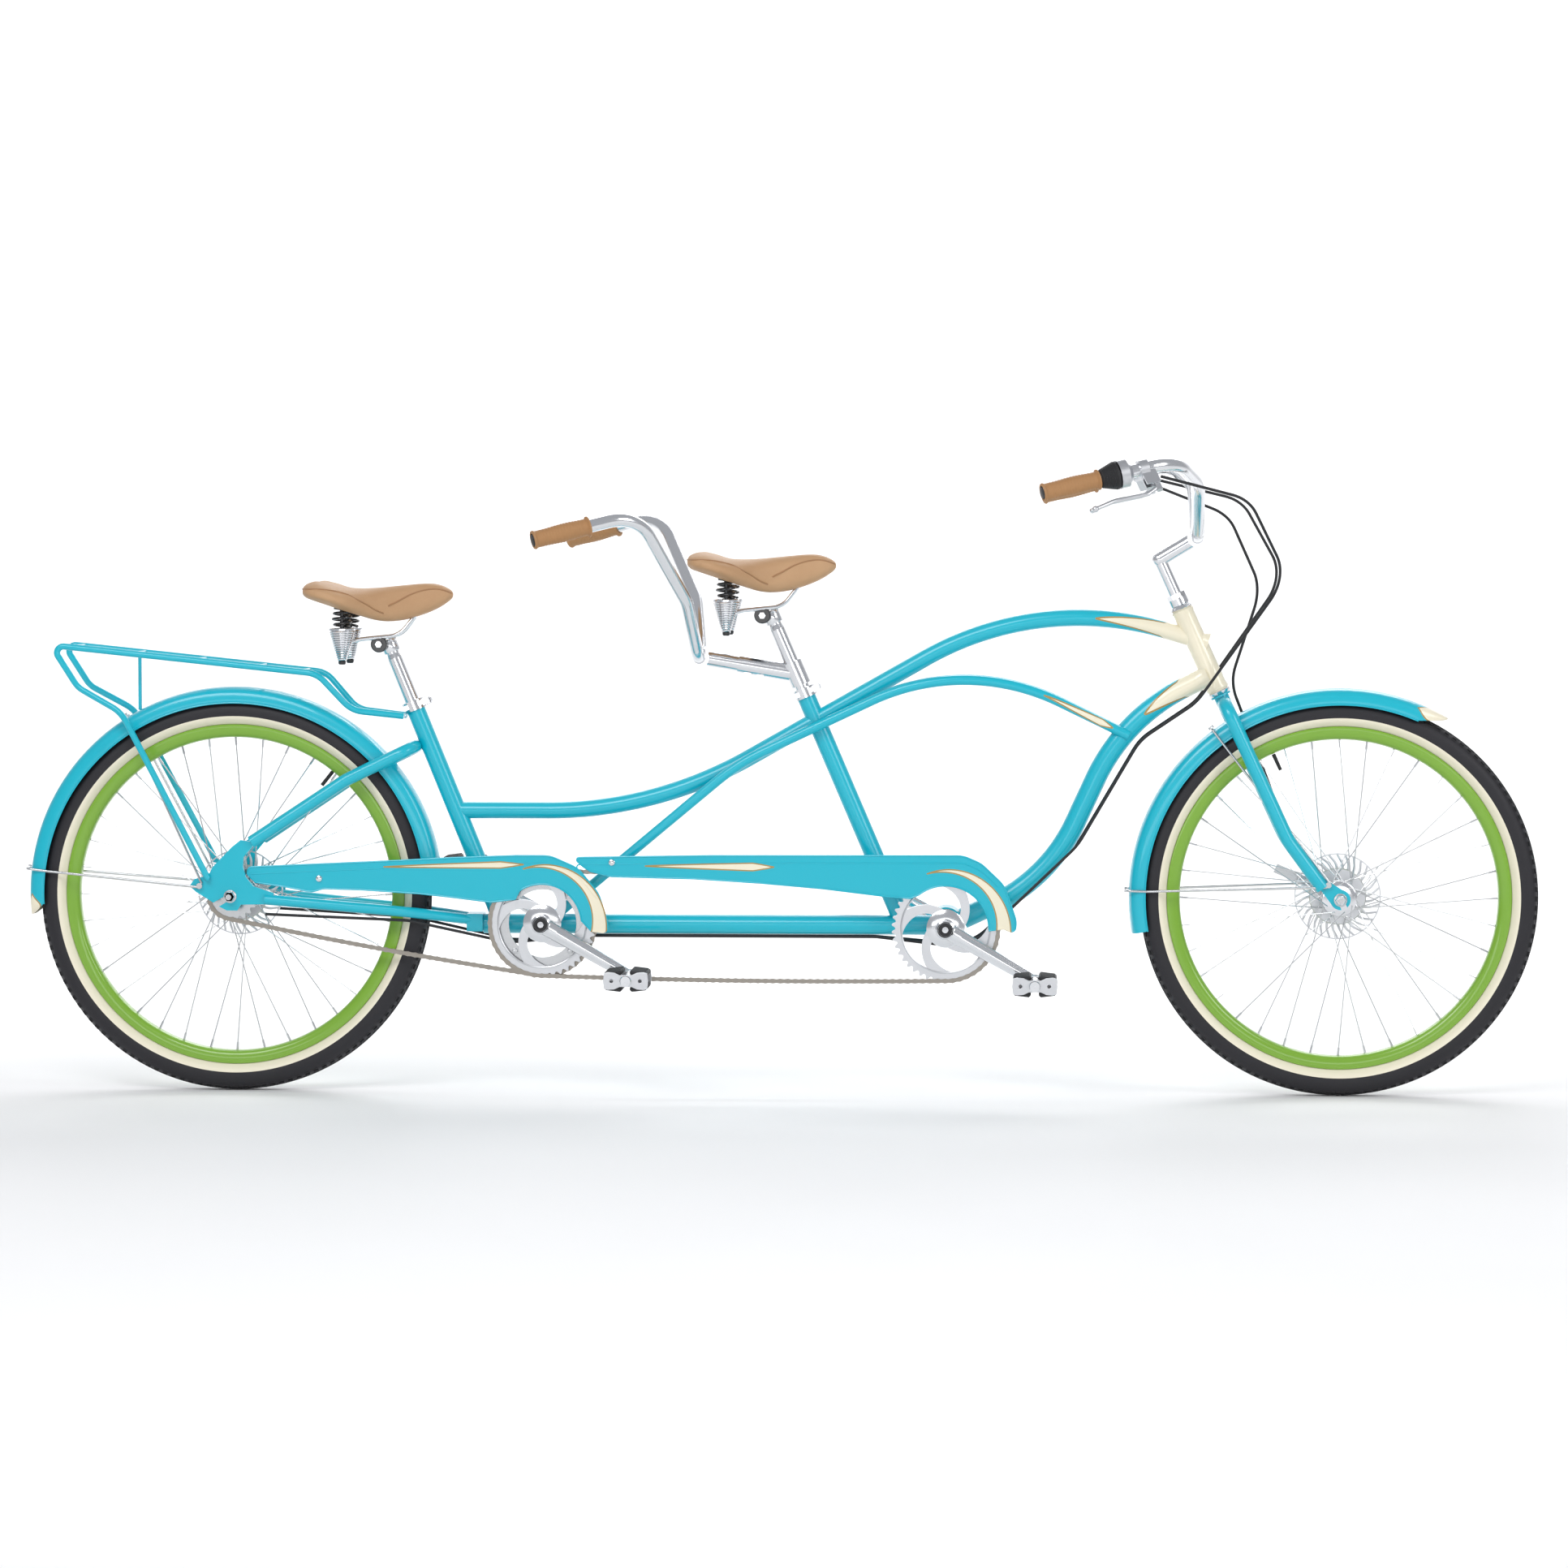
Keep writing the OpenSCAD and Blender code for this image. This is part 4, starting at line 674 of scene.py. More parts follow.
def fender(name, axle, a0, a1, tip, body, node, cream_from, taper):
    """Sweeps the section from a0 to a1 degrees. taper gives how far before the tip the sides run out."""
    half, r = 0.032, 0.356
    section = [(-0.0275, 1.0), (-0.0215, 1.0), (-0.0135, 0.965), (-0.0075, 0.87), (-0.0035, 0.70),
               (-0.0012, 0.42), (0, 0.0)]
    section = section + [(d, -w) for d, w in section[:-1][::-1]]
    mesh = bpy.data.meshes.new(name)
    bm = bmesh.new()
    layer = bm.loops.layers.uv.new("UVMap")
    n = int(abs(a1 - a0) * 1.4)
    rows = []
    for k in range(n + 1):
        a = math.radians(a0 + (a1 - a0) * k / n)
        left = abs(math.degrees(a) - (a1 if tip == "end" else a0))
        s = min(1.0, left / taper) if taper else 1.0
        deep, wide = 0.12 + 0.88 * s ** 0.8, 0.25 + 0.75 * s ** 0.55
        row = []
        for d, w in section:
            rr = r + d * deep
            row.append(bm.verts.new(axle + Vector((rr * math.cos(a), w * half * wide, rr * math.sin(a)))))
        rows.append((row, a))
    for (p, a), (q, b) in zip(rows, rows[1:]):
        for i in range(len(p) - 1):
            f = bm.faces.new((p[i], q[i], q[i + 1], p[i + 1]))
            for loop, uv in zip(f.loops, ((a, i), (b, i), (b, i + 1), (a, i + 1))):
                loop[layer].uv = (math.degrees(uv[0]) / 100, uv[1] / (len(section) - 1))
    bmesh.ops.recalc_face_normals(bm, faces=bm.faces)
    bm.to_mesh(mesh)
    bm.free()
    ob = bpy.data.objects.new("making", mesh)
    bpy.context.scene.collection.objects.link(ob)
    solid = ob.modifiers.new("sheet", "SOLIDIFY")
    solid.thickness, solid.offset = 0.0014, -1 if mesh.polygons[0].normal.dot(mesh.polygons[0].center - axle) > 0 else 1
    sub = ob.modifiers.new("soft", "SUBSURF")
    sub.levels = sub.render_levels = 1
    bpy.context.view_layer.update()
    made = bpy.data.meshes.new_from_object(ob.evaluated_get(bpy.context.evaluated_depsgraph_get()))
    bpy.data.objects.remove(ob)
    m, t, b = new_material(name + " enamel")
    uv = t.nodes.new("ShaderNodeUVMap")
    sep = t.nodes.new("ShaderNodeSeparateXYZ")
    join(t, uv.outputs[0], sep.inputs[0])
    across = math_node(t, "ABSOLUTE", math_node(t, "SUBTRACT", sep.outputs[1], 0.5))
    sign = 1.0 if tip == "end" else -1.0
    run = math_node(t, "MULTIPLY", math_node(t, "SUBTRACT", sep.outputs[0], cream_from / 100), sign)
    run = math_node(t, "SUBTRACT", run, math_node(t, "MULTIPLY", math_node(
        t, "ABSOLUTE", math_node(t, "SUBTRACT", across, 0.24)), 0.16))
    cream = math_node(t, "GREATER_THAN", run, 0.0)
    gold = math_node(t, "LESS_THAN", math_node(t, "ABSOLUTE", run), 0.0028)
    join(t, blend_colour(t, gold, blend_colour(t, cream, CYAN, CREAM), GOLD), b.inputs["Base Color"])
    b.inputs["Coat Weight"].default_value = 0.4
    b.inputs["Coat Roughness"].default_value = 0.05
    add_grain(t, b, 25, 0.05, 0.3)
    add_object(name, painted(made, m), body, None, [node], 60)
    for s in (-1, 1):
        path = [axle + Vector(((r - 0.0278) * math.cos(math.radians(a)), s * 0.0316,
                               (r - 0.0278) * math.sin(math.radians(a))))
                for a in ([a0 + (a1 - a0) * k / n for k in range(n + 1)] if not taper else
                          [a0 + taper + (a1 - a0 - taper) * k / n for k in range(n + 1)] if tip == "start" else
                          [a0 + (a1 - a0 - taper) * k / n for k in range(n + 1)])]
        add_object(f"{name}_edge_{'left' if s > 0 else 'right'}", sweep(path, 0.0013, 8), body, cyan_paint)


fender("rear_mudguard", at(0, 0, 0.3365), 10, 186, "end", "frame", "rear_fender", 180, 3.0)
fender("front_mudguard", at(1.882, 0, 0.3365), 59, 190, "start", "steering", "front_fender", 68, 7.5)

# ---------------------------------------------------------------- chainguards
# Pressed steel guards with a rolled edge bead, bolted to the stays and to the boom. Each carries a cream
# flame that runs back from a cream lip round the ring, and a small stamped crease.


def safe_bends(points, most):
    """A bend radius for each inner point, no longer than its two straights can hold."""
    out = []
    for a, p, b in zip(points, points[1:], points[2:]):
        u, v = p - a, b - p
        turn = max(u.angle(v), 0.01)
        out.append(min(most, 0.46 * min(u.length, v.length) / math.tan(turn / 2)))
    return out


def guard(name, node, centre, outer, inner_r, start_deg, end_deg, tail, flames):
    """outer runs along the top and down the nose; an arc of inner_r follows; tail closes the underside."""
    cx, cz = centre.x, centre.z
    arc = [(cx + inner_r * math.cos(math.radians(start_deg + (end_deg - start_deg) * k / 30)),
            cz + inner_r * math.sin(math.radians(start_deg + (end_deg - start_deg) * k / 30))) for k in range(31)]
    above, below = ([Vector((x, 0, z)) for x, z in line] for line in (outer, tail))
    top = smooth_path(above, safe_bends(above, 0.05))
    low = smooth_path(below, safe_bends(below, 0.03))
    ring = [(p.x, p.z) for p in top] + arc + [(p.x, p.z) for p in low]
    m, t, b = new_material(name + " enamel")
    co = t.nodes.new("ShaderNodeTexCoord")
    sep = t.nodes.new("ShaderNodeSeparateXYZ")
    join(t, co.outputs["Object"], sep.inputs[0])
    X, Z = sep.outputs[0], sep.outputs[2]
    cream, gold = 0.0, 0.0
    for fx, fz, slope, length, width in flames:
        run = math_node(t, "SUBTRACT", fx, X) if length < 0 else math_node(t, "SUBTRACT", X, fx)
        line = math_node(t, "ADD", math_node(t, "MULTIPLY", math_node(t, "SUBTRACT", X, fx), slope), fz)
        side = math_node(t, "DIVIDE", math_node(t, "SUBTRACT", Z, line), 0.01)
        c, g = add_flame(t, run, side, abs(length), width * 100, 0.0, 0.11)
        cream, gold = math_node(t, "MAXIMUM", cream, c), math_node(t, "MAXIMUM", gold, g)
    dx, dz = math_node(t, "SUBTRACT", X, cx), math_node(t, "SUBTRACT", Z, cz)
    radius = math_node(t, "SQRT", math_node(t, "ADD", math_node(t, "MULTIPLY", dx, dx),
                                            math_node(t, "MULTIPLY", dz, dz)))
    angle = math_node(t, "ARCTAN2", dz, dx)
    swell = math_node(t, "MULTIPLY", math_node(t, "SUBTRACT", 1.9, angle), 0.0062)
    band = math_node(t, "SUBTRACT", swell, math_node(t, "ABSOLUTE", math_node(t, "SUBTRACT", radius, 0.0985)))
    front = math_node(t, "MULTIPLY", math_node(t, "GREATER_THAN", band, 0.0), math_node(t, "LESS_THAN", angle, 1.9))
    cream = math_node(t, "MAXIMUM", cream, front)
    gold = math_node(t, "MAXIMUM", gold, math_node(t, "MULTIPLY", math_node(t, "LESS_THAN", angle, 1.9), math_node(
        t, "LESS_THAN", math_node(t, "ABSOLUTE", band), 0.0011)))
    join(t, blend_colour(t, gold, blend_colour(t, cream, CYAN, CREAM), GOLD), b.inputs["Base Color"])
    b.inputs["Coat Weight"].default_value = 0.4
    b.inputs["Coat Roughness"].default_value = 0.05
    add_grain(t, b, 25, 0.05, 0.3)
    sheet = painted(plate(ring, -0.061, 0.0016, 0.0004), m)
    bead = painted(sweep([Vector((x, -0.0615, z)) for x, z in ring] + [Vector((ring[0][0], -0.0615, ring[0][1]))],
                         0.0015, 8), m)
    crease = painted(sweep([Vector((x, -0.0617, z - 0.012)) for x, z in [(p.x,
                                                                          p.z) for p in top][4:int(len(top) * 0.72)]],
                           0.0011, 8, flat=0.7), m)
    add_object(name, merged(sheet, bead, crease), "frame", None, [node], 30)


x2, x1 = BB2.x, BB1.x
guard("rear_chain_cover", "rear_chainguard", BB2,
      [(x2 - 0.503, 0.374), (x2 - 0.501, 0.386), (x2 - 0.263, 0.397), (x2 - 0.153, 0.403), (x2 - 0.043, 0.407),
       (x2 + 0.014, 0.407), (x2 + 0.062, 0.386), (x2 + 0.097, 0.343), (x2 + 0.112,
                                                                       0.295), (x2 + 0.111,
                                                                                0.276), (x2 + 0.085, 0.279)],
      0.068, 5, 124,
      [(x2 - 0.045, 0.333), (x2 - 0.087, 0.328), (x2 - 0.153, 0.336), (x2 - 0.208, 0.342), (x2 - 0.305, 0.348),
       (x2 - 0.373, 0.350), (x2 - 0.392, 0.344), (x2 - 0.439, 0.353), (x2 - 0.489, 0.360)],
      [(x2 - 0.03, 0.392, 0.02, -0.24, 0.0062)])
guard("front_chain_cover", "front_chainguard", BB1,
      [(x1 - 0.615, 0.389), (x1 - 0.632, 0.404), (x1 - 0.4, 0.408), (x1 + 0.03, 0.409), (x1 + 0.060, 0.396),
       (x1 + 0.099, 0.359), (x1 + 0.120, 0.298),
       (x1 + 0.117, 0.278), (x1 + 0.098, 0.286)],
      0.0735, -2, 128,
      [(x1 - 0.060, 0.337), (x1 - 0.108, 0.341), (x1 - 0.208, 0.353), (x1 - 0.313, 0.362), (x1 - 0.427, 0.369),
       (x1 - 0.566, 0.372), (x1 - 0.603, 0.381)],
      [(x1 - 0.29, 0.389, -0.005, -0.22, 0.0075)])
for name, x, z in (("rear_cover_bolt", x2 - 0.380, 0.367), ("front_cover_bolt", x1 - 0.566, 0.396)):
    add_object(name, lathe([(0, 0.0042), (0.003, 0.0040), (0.005, 0.0028), (0.0062, 0.0), (0, 0)],
                           Vector((x, -0.0618, z)), -Y, 32), "frame", polished)

# ---------------------------------------------------------------- rings, sprocket and cranks
# Alloy chainrings cut with real teeth, the outer one with four swept arms, on cold-forged crank arms
# that press on a square spindle. A black dust cap with a bright bolt closes each end.


def tooth_ring(centre, y, teeth, thick, bore, windows=()):
    """A ring with one tooth between each pair of rollers, and round or drawn windows."""
    pr = 0.0127 / 2 / math.sin(math.pi / teeth)
    step = 2 * math.pi / teeth
    outer = []
    for i in range(teeth):
        a = math.pi / 2 + i * step
        for share, r in ((0.0, -0.0041), (0.13, -0.0037), (0.25, -0.0018), (0.34, 0.0004), (0.42, 0.0019),
                         (0.5, 0.0022), (0.58, 0.0019), (0.66, 0.0004), (0.75, -0.0018), (0.87, -0.0037)):
            w = a + share * step
            outer.append((centre.x + (pr + r) * math.cos(w), centre.z + (pr + r) * math.sin(w)))
    return plate(outer, y, thick, 0.0004, [(centre.x, centre.z, bore)] if bore else [], windows)


def swept_windows(centre, inner, outer):
    """Four openings that leave four arms swept like a pinwheel."""
    out = []
    for i in range(4):
        a0 = i * math.pi / 2 + 0.55
        edge = []
        for k in range(13):
            s = k / 12
            edge.append((a0 + 0.20 + 0.95 * s ** 1.4, inner + (outer - inner) * s))
        for k in range(1, 12):
            edge.append((a0 + 1.15 + 1.02 * k / 12, outer))
        for k in range(13):
            s = 1 - k / 12
            edge.append((a0 + 1.02 + 1.15 * s ** 0.75, inner + (outer - inner) * s))
        out.append([(centre.x + r * math.cos(a), centre.z + r * math.sin(a)) for a, r in edge])
    return out


for who, centre, rings_node in (("stoker", BB2, "stoker_rings"), ("captain", BB1, "captain_ring")):
    body = f"{who}_crankset"
    parts = [painted(tooth_ring(centre, -0.052, 44, 0.0024, 0.0, swept_windows(centre, 0.030, 0.0745)), satin),
             painted(lathe([(0.0735, -0.0010), (0.0752, -0.0020), (0.0768, -0.0010)], centre - Y * 0.0526, Y,
                           96), satin)]
    if who == "stoker":
        parts.append(painted(tooth_ring(centre, -0.044, 44, 0.0024, 0.058), steel))
        for i in range(4):
            w = math.radians(45 + 90 * i)
            parts.append(painted(lathe(rounded(0.0045, -0.0535, -0.0425, 0.0006), centre + Vector((
                0.0665 * math.cos(w), 0, 0.0665 * math.sin(w))), Y, 20), steel))
    add_object(f"{who}_ring_set", merged(*parts), body, None, [rings_node], 30)
    arms = []
    for s in (-1, 1):
        d = Vector((math.cos(math.radians(30)) * -s, 0, math.sin(math.radians(30)) * s))
        eye = centre + d * 0.175
        path = [centre + d * t + Y * s * y for t, y in ((0.004, 0.0715), (0.03, 0.0722), (0.07, 0.0728),
                                                        (0.12, 0.073),
                                                        (0.15, 0.073), (0.171, 0.073))]
        arms.append(sweep(path, lambda t: 0.0148 - 0.0048 * t ** 0.7, 24, Y, flat=0.58))
        inset = [p + Y * s * 0.0068 for p in path[1:-1]]
        arms.append(sweep(inset, lambda t: 0.0062 - 0.0018 * t, 16, Y, flat=0.34))
        arms.append(lathe([(0.0087, 0.050), (0.0155, 0.050), (0.017, 0.052), (0.017, 0.0655), (0.0165, 0.076),
                           (0.0152, 0.0815), (0.0135, 0.0825), (0.0125, 0.0815), (0.0122, 0.0805), (0.0087, 0.0805),
                           (0.0087, 0.050)], centre, Y * s, 48))
        arms.append(lathe([(0.0046, 0.0655), (0.0108, 0.0655), (0.0125, 0.0675), (0.0125, 0.0785), (0.0108, 0.0805),
                           (0.0046, 0.0805), (0.0046, 0.0655)], eye, Y * s, 40))
        cap = lathe([(0, 0.0826), (0.0068, 0.0826), (0.0074, 0.0842), (0.0112, 0.0842), (0.0118, 0.0834),
                     (0.0118, 0.0805),
                     (0, 0.0805)], centre, Y * s, 40)
        bolt = lathe([(0, 0.0848), (0.0050, 0.0846), (0.0058, 0.0838), (0.0058, 0.0826), (0, 0.0826)], centre,
                     Y * s, 24)
        add_object(f"{who}_dust_cap_{'left' if s > 0 else 'right'}", merged(painted(cap, black_plastic),
                                                                          painted(bolt, polished)), body)
    arms.append(lathe([(0, -0.0655), (0.0085, -0.0655), (0.0085, 0.0655), (0, 0.0655)], centre, Y, 32))
    arms.append(lathe([(0.0088, -0.0506), (0.0315, -0.0506), (0.0325, -0.0515), (0.0325, -0.0530), (0.030, -0.0545),
                       (0.0170, -0.0570), (0.0088, -0.0570), (0.0088, -0.0506)], centre, Y, 48))
    add_object(f"{who}_crank_arms", merged(*[painted(a, polished) for a in arms]), body, None, [f"{who}_cranks"], 40)

sprocket = merged(painted(tooth_ring(at(0, 0, 0.3365), -0.044, 20, 0.0024, 0.0), steel),
                  painted(lathe([(0.0052, -0.0585), (0.017, -0.0585), (0.019, -0.057), (0.019, -0.0345),
                                 (0.0052, -0.0345),
                                 (0.0052, -0.0585)], at(0, 0, 0.3365), Y, 40), steel))
add_object("hub_sprocket", sprocket, "rear_sprocket", None, ["rear_sprocket"], 30)

# ---------------------------------------------------------------- chains
# Half-inch bushed roller chain, outer and inner links in turn, lightly oiled. The nodes walk the
# pitch line and set one link on every step, turned along the run.


def chain_tree():
    g = bpy.data.node_groups.new("Links along a loop", "GeometryNodeTree")
    for n, kind in (("Geometry", "NodeSocketGeometry"), ("Outer", "NodeSocketObject"), ("Inner", "NodeSocketObject"),
                    ("Links", "NodeSocketInt"), ("Finish", "NodeSocketMaterial")):
        g.interface.new_socket(n, in_out="INPUT", socket_type=kind)
    g.interface.new_socket("Geometry", in_out="OUTPUT", socket_type="NodeSocketGeometry")
    a, z = g.nodes.new("NodeGroupInput"), g.nodes.new("NodeGroupOutput")
    curve = g.nodes.new("GeometryNodeMeshToCurve")
    walk = g.nodes.new("GeometryNodeCurveToPoints")
    walk.mode = "COUNT"
    sep, turn, neg, spin = (g.nodes.new(n) for n in ("ShaderNodeSeparateXYZ", "ShaderNodeMath", "ShaderNodeMath",
                                                    "ShaderNodeCombineXYZ"))
    turn.operation, neg.operation = "ARCTAN2", "MULTIPLY"
    neg.inputs[1].default_value = -1
    index, odd, even = (g.nodes.new(n) for n in ("GeometryNodeInputIndex", "ShaderNodeMath", "ShaderNodeMath"))
    odd.operation, even.operation = "MODULO", "SUBTRACT"
    odd.inputs[1].default_value, even.inputs[0].default_value = 2, 1
    both, real, finish = (g.nodes.new(n) for n in ("GeometryNodeJoinGeometry", "GeometryNodeRealizeInstances",
                                                  "GeometryNodeSetMaterial"))
    g.links.new(a.outputs["Geometry"], curve.inputs[0])
    g.links.new(curve.outputs[0], walk.inputs["Curve"])
    g.links.new(a.outputs["Links"], walk.inputs["Count"])
    g.links.new(walk.outputs["Tangent"], sep.inputs[0])
    g.links.new(sep.outputs[2], neg.inputs[0])
    g.links.new(neg.outputs[0], turn.inputs[0])
    g.links.new(sep.outputs[0], turn.inputs[1])
    g.links.new(turn.outputs[0], spin.inputs[1])
    g.links.new(index.outputs[0], odd.inputs[0])
    g.links.new(odd.outputs[0], even.inputs[1])
    for which, pick in (("Outer", odd), ("Inner", even)):
        info, put = g.nodes.new("GeometryNodeObjectInfo"), g.nodes.new("GeometryNodeInstanceOnPoints")
        g.links.new(a.outputs[which], info.inputs[0])
        g.links.new(walk.outputs["Points"], put.inputs["Points"])
        g.links.new(pick.outputs[0], put.inputs["Selection"])
        g.links.new(info.outputs["Geometry"], put.inputs["Instance"])
        g.links.new(spin.outputs[0], put.inputs["Rotation"])
        g.links.new(put.outputs[0], both.inputs[0])
    g.links.new(both.outputs[0], real.inputs[0])
    g.links.new(real.outputs[0], finish.inputs["Geometry"])
    g.links.new(a.outputs["Finish"], finish.inputs["Material"])
    g.links.new(finish.outputs[0], z.inputs[0])
    return g


CHAIN = chain_tree()


def link_mesh(plates_y, thick, waist, roll):
    """Two waisted side plates, and two pins or rollers, about the middle of one pitch."""
    edge = []
    for s in (1, -1):
        for k in range(7):
            a = math.radians(-78 + 26 * k)
            edge.append((s * (0.00635 + 0.0042 * math.cos(a)), s * 0.0042 * math.sin(a)))
        edge.append((0, s * waist))
    bm = bmesh.new()
    for y in (-plates_y, plates_y):
        low = [bm.verts.new((x, y - thick / 2, z)) for x, z in edge]
        high = [bm.verts.new((x, y + thick / 2, z)) for x, z in edge]
        bm.faces.new(low)
        bm.faces.new(high[::-1])
        for i in range(len(edge)):
            n = (i + 1) % len(edge)
            bm.faces.new((low[i], high[i], high[n], low[n]))
    for x in (-0.00635, 0.00635):
        half, r = (plates_y + thick * 0.9, 0.0018) if not roll else (plates_y - thick / 2, 0.0039)
        a = [bm.verts.new((x + r * math.cos(k * math.pi / 4), -half,
                           r * math.sin(k * math.pi / 4))) for k in range(8)]
        b = [bm.verts.new((x + r * math.cos(k * math.pi / 4), half, r * math.sin(k * math.pi / 4))) for k in range(8)]
        bm.faces.new(a)
        bm.faces.new(b[::-1])
        for i in range(8):
            bm.faces.new((a[i], b[i], b[(i + 1) % 8], a[(i + 1) % 8]))
    bmesh.ops.recalc_face_normals(bm, faces=bm.faces)
    mesh = bpy.data.meshes.new("link")
    bm.to_mesh(mesh)
    bm.free()
    return mesh


def chain(name, node, c0, r0, c1, r1, y, links):
    """The loop starts half a pitch along the top run, so the rollers lie between the teeth."""
    ax, az, bx, bz = c0.x, c0.z, c1.x, c1.z
    far = math.hypot(bx - ax, bz - az)
    tilt, g = math.atan2(bz - az, bx - ax), math.asin((r1 - r0) / far)
    top, low = math.pi / 2 + tilt + g, -math.pi / 2 + tilt - g
    pts = []
    p0 = Vector((ax + r0 * math.cos(top), 0, az + r0 * math.sin(top)))
    p1 = Vector((bx + r1 * math.cos(top), 0, bz + r1 * math.sin(top)))
    d = (p1 - p0).normalized()
    run = (p1 - p0).length
    pts += [p0 + d * (0.00635 + (run - 0.00635) * k / 40) for k in range(40)]
    pts += [Vector((bx + r1 * math.cos(top + (low - top) * k / 60), 0,
                    bz + r1 * math.sin(top + (low - top) * k / 60)))
            for k in range(60)]
    q0 = Vector((bx + r1 * math.cos(low), 0, bz + r1 * math.sin(low)))
    q1 = Vector((ax + r0 * math.cos(low), 0, az + r0 * math.sin(low)))
    sag = 0.004
    pts += [q0.lerp(q1, k / 40) - Vector((0, 0, sag * math.sin(math.pi * k / 40))) for k in range(40)]
    pts += [Vector((ax + r0 * math.cos(a), 0, az + r0 * math.sin(a)))
            for a in [low - (2 * math.pi - (top - low)) * k / 60 for k in range(60)]]
    pts.append(p0 + d * 0.0001)
    path = bpy.data.meshes.new("pitch line")
    path.from_pydata([p + Y * y for p in pts], [(i, (i + 1) % len(pts)) for i in range(len(pts))], [])
    made = with_nodes(path, CHAIN, {"Outer": outer_link, "Inner": inner_link, "Links": links, "Finish": chain_steel})
    add_object(name, made, "frame", None, [node], 30)


outer_link = bpy.data.objects.new("outer link", link_mesh(0.0026, 0.0008, 0.0031, False))
inner_link = bpy.data.objects.new("inner link", link_mesh(0.0017, 0.0008, 0.0031, True))
for ob in (outer_link, inner_link):
    bpy.context.scene.collection.objects.link(ob)
ring_r = 0.0127 / 2 / math.sin(math.pi / 44)
small_r = 0.0127 / 2 / math.sin(math.pi / 20)
chain("timing_chain_links", "timing_chain", BB2, ring_r, BB1, ring_r, -0.052, 152)
span = math.hypot(0.531, 0.0455)
chain("drive_chain_links", "drive_chain", at(0, 0, 0.3365), small_r, BB2, ring_r, -0.044,
      2 * round((2 * span + math.pi * (ring_r + small_r) + (ring_r - small_r) ** 2 / span) / 0.0254))
for ob in (outer_link, inner_link):
    bpy.data.objects.remove(ob)

# ---------------------------------------------------------------- pedals
# Platform pedals: a turned alloy barrel, pressed end plates and four ribbed rubber treads.
for who, centre in (("captain", BB1), ("stoker", BB2)):
    for s, word in ((1, "left"), (-1, "right")):
        d = Vector((math.cos(math.radians(30)) * -s, 0, math.sin(math.radians(30)) * s))
        eye = centre + d * 0.175
        parts = [painted(lathe([(0, 0.067), (0.0045, 0.067), (0.0045, 0.0845), (0.0095, 0.085), (0.0105, 0.088),
                                (0.0088, 0.094),
                                (0.0082, 0.128), (0.0088, 0.160), (0.0098, 0.166), (0.0098,
                                                                                    0.1715), (0.0082,
                                                                                              0.1735), (0, 0.1735)],
                               eye, Y * s, 32), polished)]
        for y in (0.0885, 0.1665):
            rim = [(-0.036, -0.013), (-0.030, -0.0145), (-0.019, -0.0135), (-0.010, -0.0095), (0.010, -0.0095),
                   (0.019, -0.0135),
                   (0.030, -0.0145), (0.036, -0.013), (0.0375, 0), (0.036, 0.013), (0.030, 0.0145), (0.019, 0.0135),
                   (0.010, 0.0095), (-0.010, 0.0095), (-0.019, 0.0135), (-0.030,
                                                                         0.0145), (-0.036, 0.013), (-0.0375, 0)]
            parts.append(painted(plate([(eye.x + x, eye.z + z) for x, z in rim], s * y, 0.0024, 0.0004,
                                       [(eye.x - 0.024, eye.z, 0.0035), (eye.x + 0.024, eye.z, 0.0035)]), satin))
        for fx in (-1, 1):
            for fz in (-1, 1):
                tread = block((0.030, 0.0745, 0.0085), (eye.x + fx * 0.0215, s * 0.1275, eye.z + fz * 0.0125), 0.0035,
                              Matrix.Rotation(fx * fz * 0.12, 4, "Y"))
                parts.append(painted(tread, black_rubber))
                for k in range(9):
                    parts.append(painted(block((0.0245, 0.0032, 0.0016), (eye.x + fx * 0.0215,
                                                                          s * (0.1275 + (k - 4) * 0.0076),
                                                                          eye.z + fz * 0.0168), 0.0006,
                                               Matrix.Rotation(fx * fz * 0.12, 4, "Y")), black_rubber))
        add_object(f"{who}_{word}_pedal_set", merged(*parts), f"{who}_{word}_pedal", None,
                   [f"{who}_pedal_{word}"], 35)

# ---------------------------------------------------------------- saddles
# Sprung cruiser saddles: a padded tan cover drawn over a shell, with a welt round the sides, bent
# steel rails, a round clamp, and a coil over a beehive spring on each side.
leather, lt, lb = new_material("tan saddle cover")
l_co = lt.nodes.new("ShaderNodeTexCoord")
l_tone = lt.nodes.new("ShaderNodeTexNoise")
l_tone.inputs["Scale"].default_value, l_tone.inputs["Detail"].default_value = 14, 5
join(lt, l_co.outputs["Object"], l_tone.inputs["Vector"])
l_cell = lt.nodes.new("ShaderNodeTexVoronoi")
l_cell.inputs["Scale"].default_value = 620
join(lt, l_co.outputs["Object"], l_cell.inputs["Vector"])
l_bump = lt.nodes.new("ShaderNodeBump")
l_bump.inputs["Strength"].default_value, l_bump.inputs["Distance"].default_value = 0.22, 0.0006
join(lt, l_cell.outputs["Distance"], l_bump.inputs["Height"])
join(lt, blend_colour(lt, l_tone.outputs["Fac"], (0.47, 0.265, 0.13), (0.60, 0.37, 0.20)), lb.inputs["Base Color"])
join(lt, math_node(lt, "MULTIPLY_ADD", l_cell.outputs["Distance"], 0.3, 0.42), lb.inputs["Roughness"])
join(lt, l_bump.outputs["Normal"], lb.inputs["Normal"])
welt = plain("tan welt", (0.38, 0.20, 0.09), 0.5, 0, 0, 500, 0.1)

